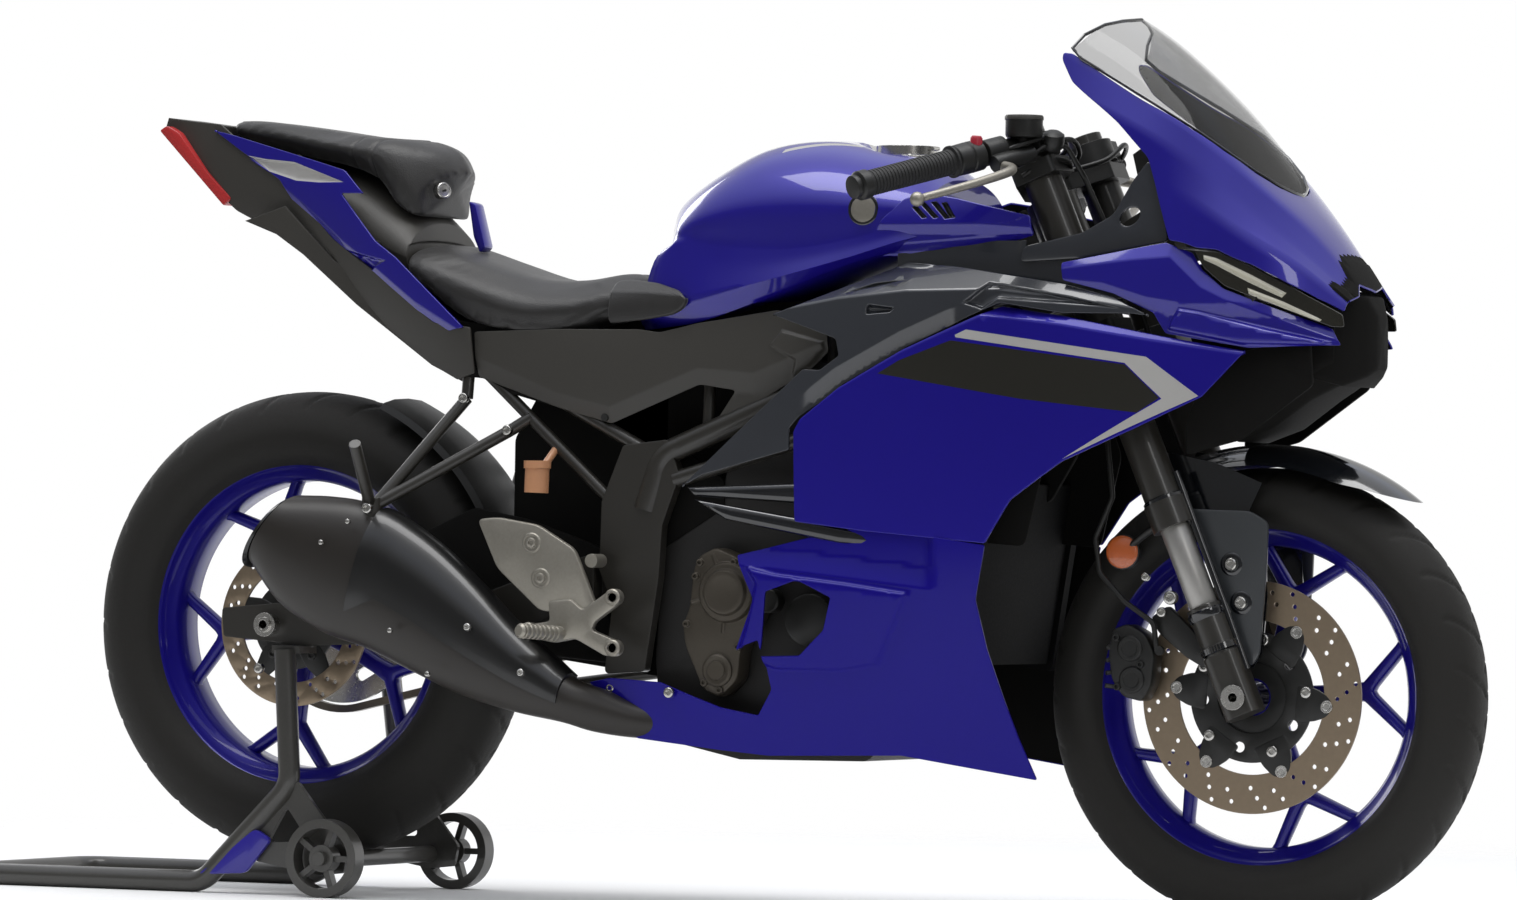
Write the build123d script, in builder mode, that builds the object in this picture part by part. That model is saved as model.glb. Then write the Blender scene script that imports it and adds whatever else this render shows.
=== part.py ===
"""Sport bike standing on a rear paddock stand.

Millimetres. +X points forward, +Y to the rider's left, +Z up. The origin is on the floor under
the middle of the bounding box. Side outlines are lists of (x, z) points.
"""
import os
from math import cos, radians, sin

from build123d import *

os.makedirs("parts", exist_ok=True)

# Stance
WHEELBASE = 1380
STAND_REACH = 450                       # handle of the stand behind the rear axle
STAND_LIFT = 45                         # rear tyre above the floor
FRONT_R, FRONT_W = 293, 110             # 110/70-17 tyre
REAR_R, REAR_W = 314, 140               # 140/70-17 tyre
HALF_LENGTH = (STAND_REACH + WHEELBASE + FRONT_R) / 2
FRONT_X = HALF_LENGTH - FRONT_R
REAR_X = FRONT_X - WHEELBASE
FRONT_Z = FRONT_R
REAR_Z = REAR_R + STAND_LIFT

# Steering: the axis leans back by the rake, less the nose-down pitch that the stand gives
RAKE = radians(23.13)
AXLE_LEAD = 37.7                        # axle ahead of the steering axis
LEG_LEAD = 35                           # fork legs ahead of the steering axis
LEG_Y = 97
STEM_UP = Vector(-sin(RAKE), 0, cos(RAKE))
STEM_FORWARD = Vector(cos(RAKE), 0, sin(RAKE))
STEER_BASE = Vector(FRONT_X, 0, FRONT_Z) - STEM_FORWARD * AXLE_LEAD
STEER = Plane(origin=STEER_BASE, x_dir=STEM_FORWARD, z_dir=STEM_UP)

# Wheels
RIM_R = 231                             # outer edge of the rim flange
BEAD_R = 218
WELL_R = 198
RIM_WALL = 5
FRONT_FLANGE_Y, REAR_FLANGE_Y = 41, 55
HUB_R = 31
AXLE_R = 10
AXLE_BORE_R = 6
RUN_GAP = 0.05                          # radial gap of a shaft in its bearing
SPOKE_PAIRS = 5
SPOKE_HALF_T = 11
SPOKE_SPLIT_R = 128                     # crotch where a stem forks into two branches
SPOKE_SPREAD = 19                       # half angle between the two branches at the rim
FRONT_SPOKE_PHASE, REAR_SPOKE_PHASE = 4, 43
FRONT_DISC_R, FRONT_DISC_Y = 149, -59
REAR_DISC_R, REAR_DISC_Y = 110, -60
DISC_T = 4

# Final drive
CHAIN_Y, CHAIN_W, CHAIN_H = 85, 14, 18
SPROCKET_R = 107
DRIVE_X, DRIVE_Z, DRIVE_R = -20, 430, 36

# Frame and swingarm
PIVOT_X, PIVOT_Z = -86, 430
PLATE_IN, PLATE_OUT = 112, 130
ARM_IN, ARM_OUT = 100, 130

# Paddock stand
ROLLER_X, ROLLER_Y, ROLLER_R, ROLLER_W = -490, 192, 52, 26
STAND_TUBE_R = 14.5
SKIN = 3                                # thickness of the moulded panels


def save(piece, name):
    """Labels a finished piece and writes its file."""
    piece.part.label = name
    export_step(piece.part, f"parts/{name}.step")


def side_plate(points, y_low, y_high, corner=0, mode=Mode.ADD):
    """A plate whose side view is the closed outline, between two distances from the middle."""
    with BuildSketch(Plane.XZ.offset(-y_high)) as profile:
        with BuildLine():
            if corner:
                FilletPolyline(*points, radius=corner, close=True)
            else:
                Polyline(*points, close=True)
        make_face()
    extrude(profile.sketch, amount=y_high - y_low, mode=mode)


def both_sides(points, y_low, y_high, corner=0):
    """The same plate on the left and on the right."""
    side_plate(points, y_low, y_high, corner)
    side_plate(points, -y_high, -y_low, corner)


def rod(start, end, radius, mode=Mode.ADD):
    """A round bar between two points."""
    start, end = Vector(*start), Vector(*end)
    with BuildSketch(Plane(origin=start, z_dir=end - start)) as profile:
        Circle(radius)
    extrude(profile.sketch, amount=(end - start).length, mode=mode)


def cross_bar(x, z, y_low, y_high, radius, mode=Mode.ADD):
    """A round bar across the bike."""
    rod((x, y_low, z), (x, y_high, z), radius, mode)


def tube(points, radius, bend):
    """A round tube along a bent line."""
    with BuildLine() as path:
        FilletPolyline(*points, radius=bend)
    with BuildSketch(Plane(origin=path.line @ 0, z_dir=path.line % 0)) as profile:
        Circle(radius)
    sweep(profile.sketch, path=path.line)


def mirrored(points):
    """The same points on the other side of the bike."""
    return [(x, -y, z) for x, y, z in points]


def turned(points, angle, x, z):
    """Points given round a wheel's centre, turned by an angle and moved to the wheel."""
    c, s = cos(radians(angle)), sin(radians(angle))
    return [(x + px * c - pz * s, z + px * s + pz * c) for px, pz in points]


def on_stem(forward, left, up):
    """A point given from the steering axis, in the bike's frame."""
    return STEER_BASE + STEM_FORWARD * forward + Vector(0, left, 0) + STEM_UP * up


def ring(x, z, y_low, y_high, r_out, r_in):
    """A flat ring about an axis across the bike."""
    with BuildSketch(Plane.XZ.offset(-y_high)) as profile:
        with Locations((x, z)):
            Circle(r_out)
            Circle(r_in, mode=Mode.SUBTRACT)
    extrude(profile.sketch, amount=y_high - y_low)


def spun(points, x, z):
    """A body of revolution about an axis across the bike; points are (y, radius)."""
    profile_plane = Plane(origin=(x, 0, z), x_dir=(0, 1, 0), z_dir=(1, 0, 0))
    with BuildSketch(profile_plane) as profile:
        with BuildLine():
            Polyline(*points, close=True)
        make_face()
    revolve(profile.sketch, axis=Axis((x, 0, z), (0, 1, 0)))


def half_section(x, z_low, z_side, z_top, y_low, y_side):
    """Left half of a cross-section: flat bottom, sloping side, elliptic crown."""
    with BuildSketch(Plane.YZ.offset(x)) as section:
        with BuildLine():
            Polyline((0, z_top), (0, z_low), (y_low, z_low), (y_side, z_side))
            EllipticalCenterArc((0, z_side), y_side, z_top - z_side, 0, arc_size=90)
        make_face()
    return section.sketch.face()


def crowned_body(stations):
    """A solid through cross-sections (x, z_low, z_side, z_top, y_low, y_side), both halves."""
    half = loft([half_section(*station) for station in stations])
    mirror(half, about=Plane.XZ)


def panel_section(x, outer, inset):
    """Cross-section of a side panel at x: outer is (y, z) at its bottom, middle and top."""
    inner = [(y - inset, z) for y, z in outer]
    with BuildSketch(Plane.YZ.offset(x)) as section:
        with BuildLine():
            ThreePointArc(*outer)
            Line(outer[-1], inner[-1])
            ThreePointArc(*reversed(inner))
            Line(inner[0], outer[0])
        make_face()
    return section.sketch.face()


def side_panel(stations, outline, cuts=(), inset=SKIN):
    """Left and right curved panels: a lofted skin trimmed to its side outline."""
    skin = loft([panel_section(x, outer, inset) for x, *outer in stations], mode=Mode.PRIVATE)
    with BuildPart(mode=Mode.PRIVATE) as trim:
        side_plate(outline, 20, 300)
        for cut in cuts:
            side_plate(cut, 10, 310, mode=Mode.SUBTRACT)
    left = skin & trim.part
    add(left)
    mirror(left, about=Plane.XZ)


# Wheels

TYRE_WALL = 9


def tyre_points(width, radius, flange):
    """Outer and inner wall of a tyre as (y, radius)."""
    half = width / 2
    bead_y = flange - 4.5
    outer = [(bead_y, BEAD_R + 0.5), (bead_y, RIM_R + 1), (half * 0.92, radius - half * 0.92),
             (half, radius - half * 0.66), (half * 0.86, radius - half * 0.3),
             (half * 0.45, radius - half * 0.06)]
    inner = [(half * 0.42, radius - half * 0.06 - TYRE_WALL), (half * 0.8, radius - half * 0.42 - TYRE_WALL),
             (half - TYRE_WALL, radius - half * 0.7), (bead_y - 8, RIM_R), (bead_y - 8, BEAD_R + 0.5)]
    right = [(-y, r) for y, r in reversed(outer)]
    back = [(-y, r) for y, r in reversed(inner)]
    return outer + [(0, radius)] + right + back + [(0, radius - TYRE_WALL)] + inner


def rim(x, z, flange, phase, hub_low, hub_high):
    """Cast wheel: barrel, hub and five spokes that fork towards the barrel."""
    outer = [(flange, RIM_R), (flange - 4, RIM_R), (flange - 4.2, BEAD_R), (flange - 18, BEAD_R - 3),
             (flange - 26, WELL_R)]
    inner = [(flange - 26, WELL_R - RIM_WALL), (flange - 15, BEAD_R - 3 - RIM_WALL),
             (flange - 3, BEAD_R - RIM_WALL), (flange, RIM_R - 6)]
    barrel = outer + [(-y, r) for y, r in reversed(outer)]
    barrel += [(-y, r) for y, r in reversed(inner)] + inner
    spun(barrel, x, z)
    cross_bar(x, z, hub_low, hub_high, HUB_R)
    reach = WELL_R - RIM_WALL + 2
    heel_angle, toe_angle = radians(SPOKE_SPREAD + 3), radians(SPOKE_SPREAD - 3)
    flank = [(20, -17), (SPOKE_SPLIT_R - 44, -11), (SPOKE_SPLIT_R - 18, -13.5), (SPOKE_SPLIT_R + 2, -24),
             (reach * cos(heel_angle), -reach * sin(heel_angle)),
             (reach * cos(toe_angle), -reach * sin(toe_angle)), (SPOKE_SPLIT_R + 12, -11)]
    with BuildSketch(Plane.XZ) as spokes:
        for k in range(SPOKE_PAIRS):
            angle = phase + k * 360 / SPOKE_PAIRS
            right = turned(flank, angle, x, z)
            left = turned([(px, -pz) for px, pz in flank], angle, x, z)
            crotch = turned([(SPOKE_SPLIT_R, 0)], angle, x, z)[0]
            with BuildLine():
                for root, waist, bend, shoulder, heel, toe, throat in (right, left):
                    Line(root, waist)
                    ThreePointArc(waist, bend, shoulder)
                    Polyline(shoulder, heel, toe, throat)
                ThreePointArc(right[-1], crotch, left[-1])
                Line(left[0], right[0])
            make_face()
    extrude(spokes.sketch, amount=SPOKE_HALF_T, both=True)
    cross_bar(x, z, hub_low - 1, hub_high + 1, AXLE_R + RUN_GAP, mode=Mode.SUBTRACT)


with BuildPart() as front_rim:
    rim(FRONT_X, FRONT_Z, FRONT_FLANGE_Y, FRONT_SPOKE_PHASE, -52, 48)
save(front_rim, "front_rim")

with BuildPart() as front_tyre:
    spun(tyre_points(FRONT_W, FRONT_R, FRONT_FLANGE_Y), FRONT_X, FRONT_Z)
save(front_tyre, "front_tyre")

BUTTONS = 6                             # floating mounts between the disc and its carrier

with BuildPart() as front_disc:
    ring(FRONT_X, FRONT_Z, FRONT_DISC_Y - DISC_T / 2, FRONT_DISC_Y + DISC_T / 2, FRONT_DISC_R, 112)
    ring(FRONT_X, FRONT_Z, FRONT_DISC_Y - 3, FRONT_DISC_Y + 7, 88, HUB_R + 2)
    with BuildSketch(Plane.XZ.offset(-FRONT_DISC_Y + 3)) as arms:
        with Locations((FRONT_X, FRONT_Z)):
            with PolarLocations(98, BUTTONS, start_angle=50):
                Rectangle(40, 22)
                with Locations((4, 0)):
                    Circle(4.5, mode=Mode.SUBTRACT)
    extrude(arms.sketch, amount=-6)
save(front_disc, "front_disc")

with BuildPart() as front_axle:
    cross_bar(FRONT_X, FRONT_Z, -128, 128, AXLE_R)
    cross_bar(FRONT_X, FRONT_Z, -LEG_Y + 24, -64, 15)
    cross_bar(FRONT_X, FRONT_Z, 49, LEG_Y - 24, 15)
    cross_bar(FRONT_X, FRONT_Z, -128, -123, 16)
    cross_bar(FRONT_X, FRONT_Z, 123, 128, 16)
    cross_bar(FRONT_X, FRONT_Z, -129, 129, AXLE_BORE_R, mode=Mode.SUBTRACT)
save(front_axle, "front_axle")

with BuildPart() as rear_rim:
    rim(REAR_X, REAR_Z, REAR_FLANGE_Y, REAR_SPOKE_PHASE, -54, 76)
save(rear_rim, "rear_rim")

with BuildPart() as rear_tyre:
    spun(tyre_points(REAR_W, REAR_R, REAR_FLANGE_Y), REAR_X, REAR_Z)
save(rear_tyre, "rear_tyre")

with BuildPart() as rear_disc:
    ring(REAR_X, REAR_Z, REAR_DISC_Y - DISC_T / 2, REAR_DISC_Y + DISC_T / 2, REAR_DISC_R, 60)
    ring(REAR_X, REAR_Z, REAR_DISC_Y - DISC_T / 2, REAR_DISC_Y + 6, 60, HUB_R + 2)
save(rear_disc, "rear_disc")

with BuildPart() as rear_sprocket:
    ring(REAR_X, REAR_Z, CHAIN_Y - 3, CHAIN_Y + 3, SPROCKET_R, HUB_R + 2)
    with BuildSketch(Plane.XZ.offset(-CHAIN_Y - 4)) as windows:
        with Locations((REAR_X, REAR_Z)):
            with PolarLocations(74, 6):
                SlotOverall(34, 16, rotation=90)
    extrude(windows.sketch, amount=8, mode=Mode.SUBTRACT)
save(rear_sprocket, "rear_sprocket")

# Steering. Heights are along the steering axis from the front axle

BRACKET_TOP, SEAL_LOW, SEAL_HIGH, TUBE_TOP = 125, 234, 270, 785
CLAMP_LOW, CLAMP_LOW_T = 482, 30
CLAMP_HIGH, CLAMP_HIGH_T = 716, 22
STEM_TOP = CLAMP_HIGH + 36
STEM_BORE_R = 9
LOWER_TUBE_R, UPPER_TUBE_R = 18.5, 25

with BuildPart() as fork_legs:
    for side in (-1, 1):
        with BuildSketch(STEER.offset(-24)) as foot:
            with Locations((LEG_LEAD, side * LEG_Y)):
                RectangleRounded(48, 46, 15)
        extrude(foot.sketch, amount=84)
        for low, high, radius in ((60, BRACKET_TOP, 24), (64, 72, 27), (SEAL_LOW, SEAL_HIGH, 28.5),
                                  (SEAL_HIGH, TUBE_TOP, UPPER_TUBE_R)):
            with BuildSketch(STEER.offset(low)) as section:
                with Locations((LEG_LEAD, side * LEG_Y)):
                    Circle(radius)
            extrude(section.sketch, amount=high - low)
    cross_bar(FRONT_X, FRONT_Z, -123, -LEG_Y + 24, AXLE_R, mode=Mode.SUBTRACT)
    cross_bar(FRONT_X, FRONT_Z, LEG_Y - 24, 123, AXLE_R, mode=Mode.SUBTRACT)
save(fork_legs, "fork_legs")

with BuildPart() as fork_tubes:
    for side in (-1, 1):
        with BuildSketch(STEER.offset(BRACKET_TOP)) as slider:
            with Locations((LEG_LEAD, side * LEG_Y)):
                Circle(LOWER_TUBE_R)
        extrude(slider.sketch, amount=SEAL_LOW - BRACKET_TOP)
save(fork_tubes, "fork_tubes")

CLAMP_OUTLINE = [(-26, -24), (-26, 24), (LEG_LEAD - 26, LEG_Y + 34), (LEG_LEAD + 32, LEG_Y + 34),
                 (LEG_LEAD + 34, LEG_Y - 30), (22, 30), (22, -30), (LEG_LEAD + 34, -LEG_Y + 30),
                 (LEG_LEAD + 32, -LEG_Y - 34), (LEG_LEAD - 26, -LEG_Y - 34)]

with BuildPart() as triple_clamps:
    for height, thick in ((CLAMP_LOW, CLAMP_LOW_T), (CLAMP_HIGH, CLAMP_HIGH_T)):
        with BuildSketch(STEER.offset(height)) as clamp:
            with BuildLine():
                FilletPolyline(*CLAMP_OUTLINE, radius=7, close=True)
            make_face()
            with Locations((LEG_LEAD, LEG_Y), (LEG_LEAD, -LEG_Y)):
                Circle(UPPER_TUBE_R, mode=Mode.SUBTRACT)
        extrude(clamp.sketch, amount=thick)
    with BuildSketch(STEER.offset(CLAMP_LOW)) as stem:
        Circle(15)
    extrude(stem.sketch, amount=STEM_TOP - CLAMP_LOW)
    with BuildSketch(STEER.offset(CLAMP_LOW - 1)) as stem_bore:
        Circle(STEM_BORE_R)
    extrude(stem_bore.sketch, amount=STEM_TOP - CLAMP_LOW + 2, mode=Mode.SUBTRACT)
save(triple_clamps, "triple_clamps")

CLIP_LOW, CLIP_TALL = 744, 28
GRIP_IN, GRIP_OUT = Vector(412, 232, 968), Vector(340, 345, 934)
BAR_DIR = (GRIP_OUT - GRIP_IN).normalized()
BAR_R = 11


def along_bar(begin, end, radius, side, mode=Mode.ADD):
    """A round piece on a handlebar; begin and end are distances outward from the grip's inner end."""
    start, finish = [GRIP_IN + BAR_DIR * d for d in (begin, end)]
    rod((start.X, side * start.Y, start.Z), (finish.X, side * finish.Y, finish.Z), radius, mode)


with BuildPart() as handlebars:
    for side in (-1, 1):
        with BuildSketch(STEER.offset(CLIP_LOW)) as clip:
            with Locations((LEG_LEAD, side * LEG_Y)):
                Circle(34)
            with Locations((LEG_LEAD + 10, side * (LEG_Y + 26))):
                Rectangle(36, 28)
            with Locations((LEG_LEAD, side * LEG_Y)):
                Circle(UPPER_TUBE_R, mode=Mode.SUBTRACT)
        extrude(clip.sketch, amount=CLIP_TALL)
        along_bar(-128, 138, BAR_R, side)
    add(fork_legs.part, mode=Mode.SUBTRACT)
save(handlebars, "handlebars")

with BuildPart() as grips:
    for side in (-1, 1):
        for begin, end, radius in ((0, 130, 16.5), (-4, 0, 21), (130, 144, 19), (144, 154, 15)):
            along_bar(begin, end, radius, side)
        along_bar(-6, 138, BAR_R, side, mode=Mode.SUBTRACT)
save(grips, "grips")

LEVER = [(466, 185, 968), (474, 216, 965), (446, 280, 952), (398, 346, 938)]
MASTER = [(458, 196, 967), (489, 145, 983)]
RESERVOIR_X, RESERVOIR_Y = 479, 150
RESERVOIR_LOW, RESERVOIR_HIGH = 1004, 1032

with BuildPart() as controls:
    for side in (-1, 1):
        along_bar(-46, -5, 20, side)
        along_bar(-84, -52, 17, side)
        side_of = [[(x, side * y, z) for x, y, z in points] for points in (LEVER, MASTER)]
        lever, master = side_of
        tube(lever, 6, 26)
        with Locations(lever[-1]):
            Sphere(9.5)
        rod(*master, 11)
        rod((466, side * 184, 966), (452, side * 177, 980), 9)
    rod((RESERVOIR_X, -RESERVOIR_Y, RESERVOIR_LOW - 22), (RESERVOIR_X, -RESERVOIR_Y, RESERVOIR_LOW), 8)
    rod((RESERVOIR_X, -RESERVOIR_Y, RESERVOIR_LOW), (RESERVOIR_X, -RESERVOIR_Y, RESERVOIR_HIGH), 24)
    add(handlebars.part, mode=Mode.SUBTRACT)
save(controls, "controls")

FENDER_CROWN, FENDER_EDGE, FENDER_Y = FRONT_R + 30, FRONT_R + 2, 66
FENDER_SIDE = [(631, 613), (625, 581), (689, 532), (745, 380), (760, 340), (772, 330), (784, 350), (790, 420),
               (786, 476), (764, 502), (764, 532), (796, 564), (830, 578), (907, 561), (975, 543), (985, 600),
               (919, 640), (760, 660)]

FENDER_SKIRT = [(640, 606), (625, 581), (689, 532), (745, 380), (760, 340), (772, 330), (784, 350),
                (790, 420), (786, 476), (764, 502), (764, 532), (780, 566), (720, 590)]

with BuildPart() as front_fender:
    shell_plane = Plane(origin=(FRONT_X, 0, FRONT_Z), x_dir=(0, 1, 0), z_dir=(1, 0, 0))
    with BuildSketch(shell_plane) as shell:
        with BuildLine():
            ThreePointArc((-FENDER_Y, FENDER_EDGE), (0, FENDER_CROWN), (FENDER_Y, FENDER_EDGE))
            Line((FENDER_Y, FENDER_EDGE), (FENDER_Y - SKIN, FENDER_EDGE))
            ThreePointArc((FENDER_Y - SKIN, FENDER_EDGE), (0, FENDER_CROWN - SKIN),
                          (SKIN - FENDER_Y, FENDER_EDGE))
            Line((SKIN - FENDER_Y, FENDER_EDGE), (-FENDER_Y, FENDER_EDGE))
        make_face()
    revolve(shell.sketch, axis=Axis((FRONT_X, 0, FRONT_Z), (0, 1, 0)))
    side_plate(FENDER_SIDE, -FENDER_Y, FENDER_Y, mode=Mode.INTERSECT)
    both_sides(FENDER_SKIRT, FENDER_Y - SKIN, FENDER_Y)
save(front_fender, "front_fender")

# The caliper straddles the disc; its bracket runs forward to the foot of the fork leg
CALIPER = [(588, 384), (634, 402), (668, 372), (670, 300), (648, 262), (606, 284), (584, 338)]
CALIPER_BRACKET = [(632, 400), (664, 424), (720, 362), (748, 300), (716, 276), (690, 330), (650, 356)]

with BuildPart() as front_caliper:
    side_plate(CALIPER, -94, -49, corner=9)
    side_plate(CALIPER_BRACKET, -94, -84, corner=6)
    cross_bar(FRONT_X, FRONT_Z, -64, -54, FRONT_DISC_R + 5, mode=Mode.SUBTRACT)
    cross_bar(676, 414, -100, -84, 8)
    add(fork_legs.part, mode=Mode.SUBTRACT)
    add(front_axle.part, mode=Mode.SUBTRACT)
save(front_caliper, "front_caliper")

# Brake hose from the caliper, round behind the leg, under the lower clamp and up to the master cylinder
HOSE_R = 3.5
HOSE = [(652, -97, 350), (648, -99, 385), (606, -96, 412), (570, -93, 448), (562, -90, 492), (584, -88, 545),
        on_stem(-6, -84, 400), on_stem(10, -64, 440), on_stem(48, -56, 458), on_stem(82, -62, 472),
        on_stem(88, -72, 520), on_stem(84, -78, 580), on_stem(86, -79, 640), on_stem(84, -83, 700),
        on_stem(84, -104, 742), on_stem(66, -130, 754)]

with BuildPart() as brake_hose:
    tube(HOSE, HOSE_R, 14)
    rod((656, -94, 350), (656, -100, 350), 6)
    add(controls.part, mode=Mode.SUBTRACT)
    add(front_caliper.part, mode=Mode.SUBTRACT)
save(brake_hose, "brake_hose")

# Bodywork. Stations: x, then (y, z) of the outer skin at the bottom, middle and top

SIDE_STATIONS = [
    (160, (172, 470), (184, 630), (186, 810)), (320, (190, 470), (198, 630), (194, 810)),
    (480, (198, 470), (204, 630), (190, 810)), (620, (186, 470), (194, 630), (180, 810)),
    (800, (120, 470), (146, 640), (140, 810))]
SIDE_OUTLINE = [(465, 787), (551, 775), (682, 750), (787, 732), (735, 673), (649, 630), (558, 588),
                (490, 539), (454, 483), (281, 496), (177, 507), (177, 625), (186, 640), (242, 681),
                (333, 730), (402, 760)]

with BuildPart() as side_fairings:
    side_panel(SIDE_STATIONS, SIDE_OUTLINE)
save(side_fairings, "side_fairings")

LOWER_STATIONS = [
    (-140, (140, 180), (160, 400), (176, 560)), (60, (142, 180), (168, 400), (184, 560)),
    (220, (142, 180), (178, 400), (194, 560)), (380, (142, 180), (188, 400), (204, 560)),
    (520, (140, 180), (184, 400), (200, 560))]
LOWER_OUTLINE = [(93, 463), (375, 424), (305, 493), (453, 481), (438, 411), (451, 347), (470, 284),
                 (487, 233), (507, 181), (321, 208), (131, 203), (58, 209), (-58, 221), (-126, 293),
                 (-96, 299), (-22, 295), (21, 279), (65, 264), (119, 255), (140, 289), (127, 353),
                 (90, 340), (118, 405)]
LOWER_WINDOW = [(140, 416), (187, 432), (235, 410), (223, 368), (186, 334), (130, 332)]

with BuildPart() as lower_fairings:
    side_panel(LOWER_STATIONS, LOWER_OUTLINE, cuts=[LOWER_WINDOW])
save(lower_fairings, "lower_fairings")

SCOOP_STATIONS = [
    (0, (176, 540), (178, 680), (150, 850)), (140, (178, 540), (180, 680), (152, 850)),
    (300, (184, 540), (190, 690), (172, 850)), (460, (188, 540), (194, 700), (182, 850)),
    (690, (164, 540), (176, 700), (168, 850))]
SCOOP_OUTLINE = [(137, 775), (220, 806), (317, 844), (394, 838), (463, 828), (546, 816), (615, 799),
                 (666, 775), (642, 778), (551, 778), (465, 791), (402, 764), (333, 734), (242, 685),
                 (184, 643), (170, 628), (170, 600), (45, 566), (15, 550), (187, 704), (212, 703),
                 (239, 722), (233, 744)]

with BuildPart() as scoop_panels:
    side_panel(SCOOP_STATIONS, SCOOP_OUTLINE)
save(scoop_panels, "scoop_panels")

CHEEK_STATIONS = [
    (530, (172, 700), (176, 790), (172, 880)), (700, (166, 700), (170, 790), (164, 880)),
    (800, (140, 700), (146, 790), (138, 880)), (900, (96, 700), (100, 770), (84, 850))]
CHEEK_OUTLINE = [(542, 843), (681, 869), (714, 856), (729, 834), (757, 811), (884, 762), (896, 741),
                 (787, 736), (684, 753), (668, 779), (615, 803), (546, 820)]

with BuildPart() as cheek_panels:
    side_panel(CHEEK_STATIONS, CHEEK_OUTLINE)
save(cheek_panels, "cheek_panels")

LENS_OUTLINE = [(719, 859), (749, 857), (792, 839), (841, 813), (898, 780), (900, 764), (886, 764),
                (759, 814), (732, 837)]

with BuildPart() as headlights:
    side_panel(CHEEK_STATIONS, LENS_OUTLINE)
save(headlights, "headlights")

# Nose sections: x, then (y, z) at the crown, shoulder, side and lower edge
NOSE_STATIONS = [
    (520, (0, 1196), (128, 1122), (150, 980), (166, 850)),
    (620, (0, 1136), (133, 1058), (154, 950), (170, 850)),
    (700, (0, 1060), (133, 1014), (156, 925), (166, 850)),
    (780, (0, 960), (106, 947), (146, 880), (156, 800)),
    (850, (0, 884), (65, 876), (116, 838), (134, 780)),
    (912, (0, 800), (40, 796), (76, 782), (92, 750))]


def nose_section(x, crown, shoulder, side, low, inset):
    """Left half of the nose at x, drawn in from the outer skin by inset."""
    if inset:
        crown = (0, crown[1] - inset * 1.3)
        shoulder = (shoulder[0] - inset, shoulder[1] - inset)
        side = (side[0] - inset, side[1] - inset * 0.3)
        low = (low[0] - inset, low[1] - 30)
    peak = (shoulder[0] * 0.55, crown[1] - (crown[1] - shoulder[1]) * 0.3)
    with BuildSketch(Plane.YZ.offset(x)) as section:
        with BuildLine():
            ThreePointArc(crown, peak, shoulder)
            Polyline(shoulder, side, low, (0, low[1]), crown)
        make_face()
    return section.sketch.face()


nose_outer = loft([nose_section(*station, 0) for station in NOSE_STATIONS], mode=Mode.PRIVATE)
nose_inner = loft([nose_section(*station, SKIN) for station in NOSE_STATIONS], mode=Mode.PRIVATE)
nose_skin = nose_outer - nose_inner
COWL_OUTLINE = [(521, 1104), (534, 1113), (582, 1082), (632, 1051), (687, 1023), (734, 994), (760, 970),
                (785, 945), (800, 930), (915, 930), (915, 812), (905, 806), (900, 783), (841, 816),
                (792, 842), (749, 860), (722, 862), (687, 871), (669, 923), (651, 977), (606, 1023),
                (540, 1075)]
SCREEN_OUTLINE = [(534, 1114), (560, 1200), (820, 1200), (820, 931), (800, 931), (785, 946), (760, 971),
                  (734, 995), (687, 1024), (632, 1052), (582, 1083)]


def nose_piece(outline):
    """The part of the nose skin inside a side outline, both halves."""
    with BuildPart(mode=Mode.PRIVATE) as trim:
        side_plate(outline, -260, 260)
    half = nose_skin & trim.part
    add(half)
    mirror(half, about=Plane.XZ)


with BuildPart() as nose_cowl:
    nose_piece(COWL_OUTLINE)
save(nose_cowl, "nose_cowl")

with BuildPart() as windscreen:
    nose_piece(SCREEN_OUTLINE)
save(windscreen, "windscreen")

# Black inner bodywork: the duct in the chin, the inside of the cockpit and the blades behind the fairing
DUCT = [(884, 812), (908, 803), (912, 779), (916, 712), (908, 704), (886, 683), (858, 690), (858, 760)]
DUCT_MOUTH = [(890, 800), (930, 800), (930, 712), (890, 712)]
CHIN = [(858, 745), (858, 690), (766, 620), (690, 600), (700, 640), (790, 725)]
COCKPIT = [(476, 846), (570, 852), (675, 872), (650, 970), (628, 970), (640, 890), (570, 872), (478, 862)]
BLADES = [[(20, 550), (176, 557), (176, 531), (30, 538)],
          [(30, 535), (282, 497), (288, 487), (266, 473), (78, 508)]]

with BuildPart() as inner_panels:
    side_plate(DUCT, -64, 64)
    side_plate(DUCT_MOUTH, -50, 50, mode=Mode.SUBTRACT)
    both_sides(CHIN, 100, 103)
    both_sides(COCKPIT, 140, 143)
    for blade in BLADES:
        both_sides(blade, 170, 176)
    for panel in (nose_cowl, lower_fairings, side_fairings):
        add(panel.part, mode=Mode.SUBTRACT)
save(inner_panels, "inner_panels")

# Frame

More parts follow.
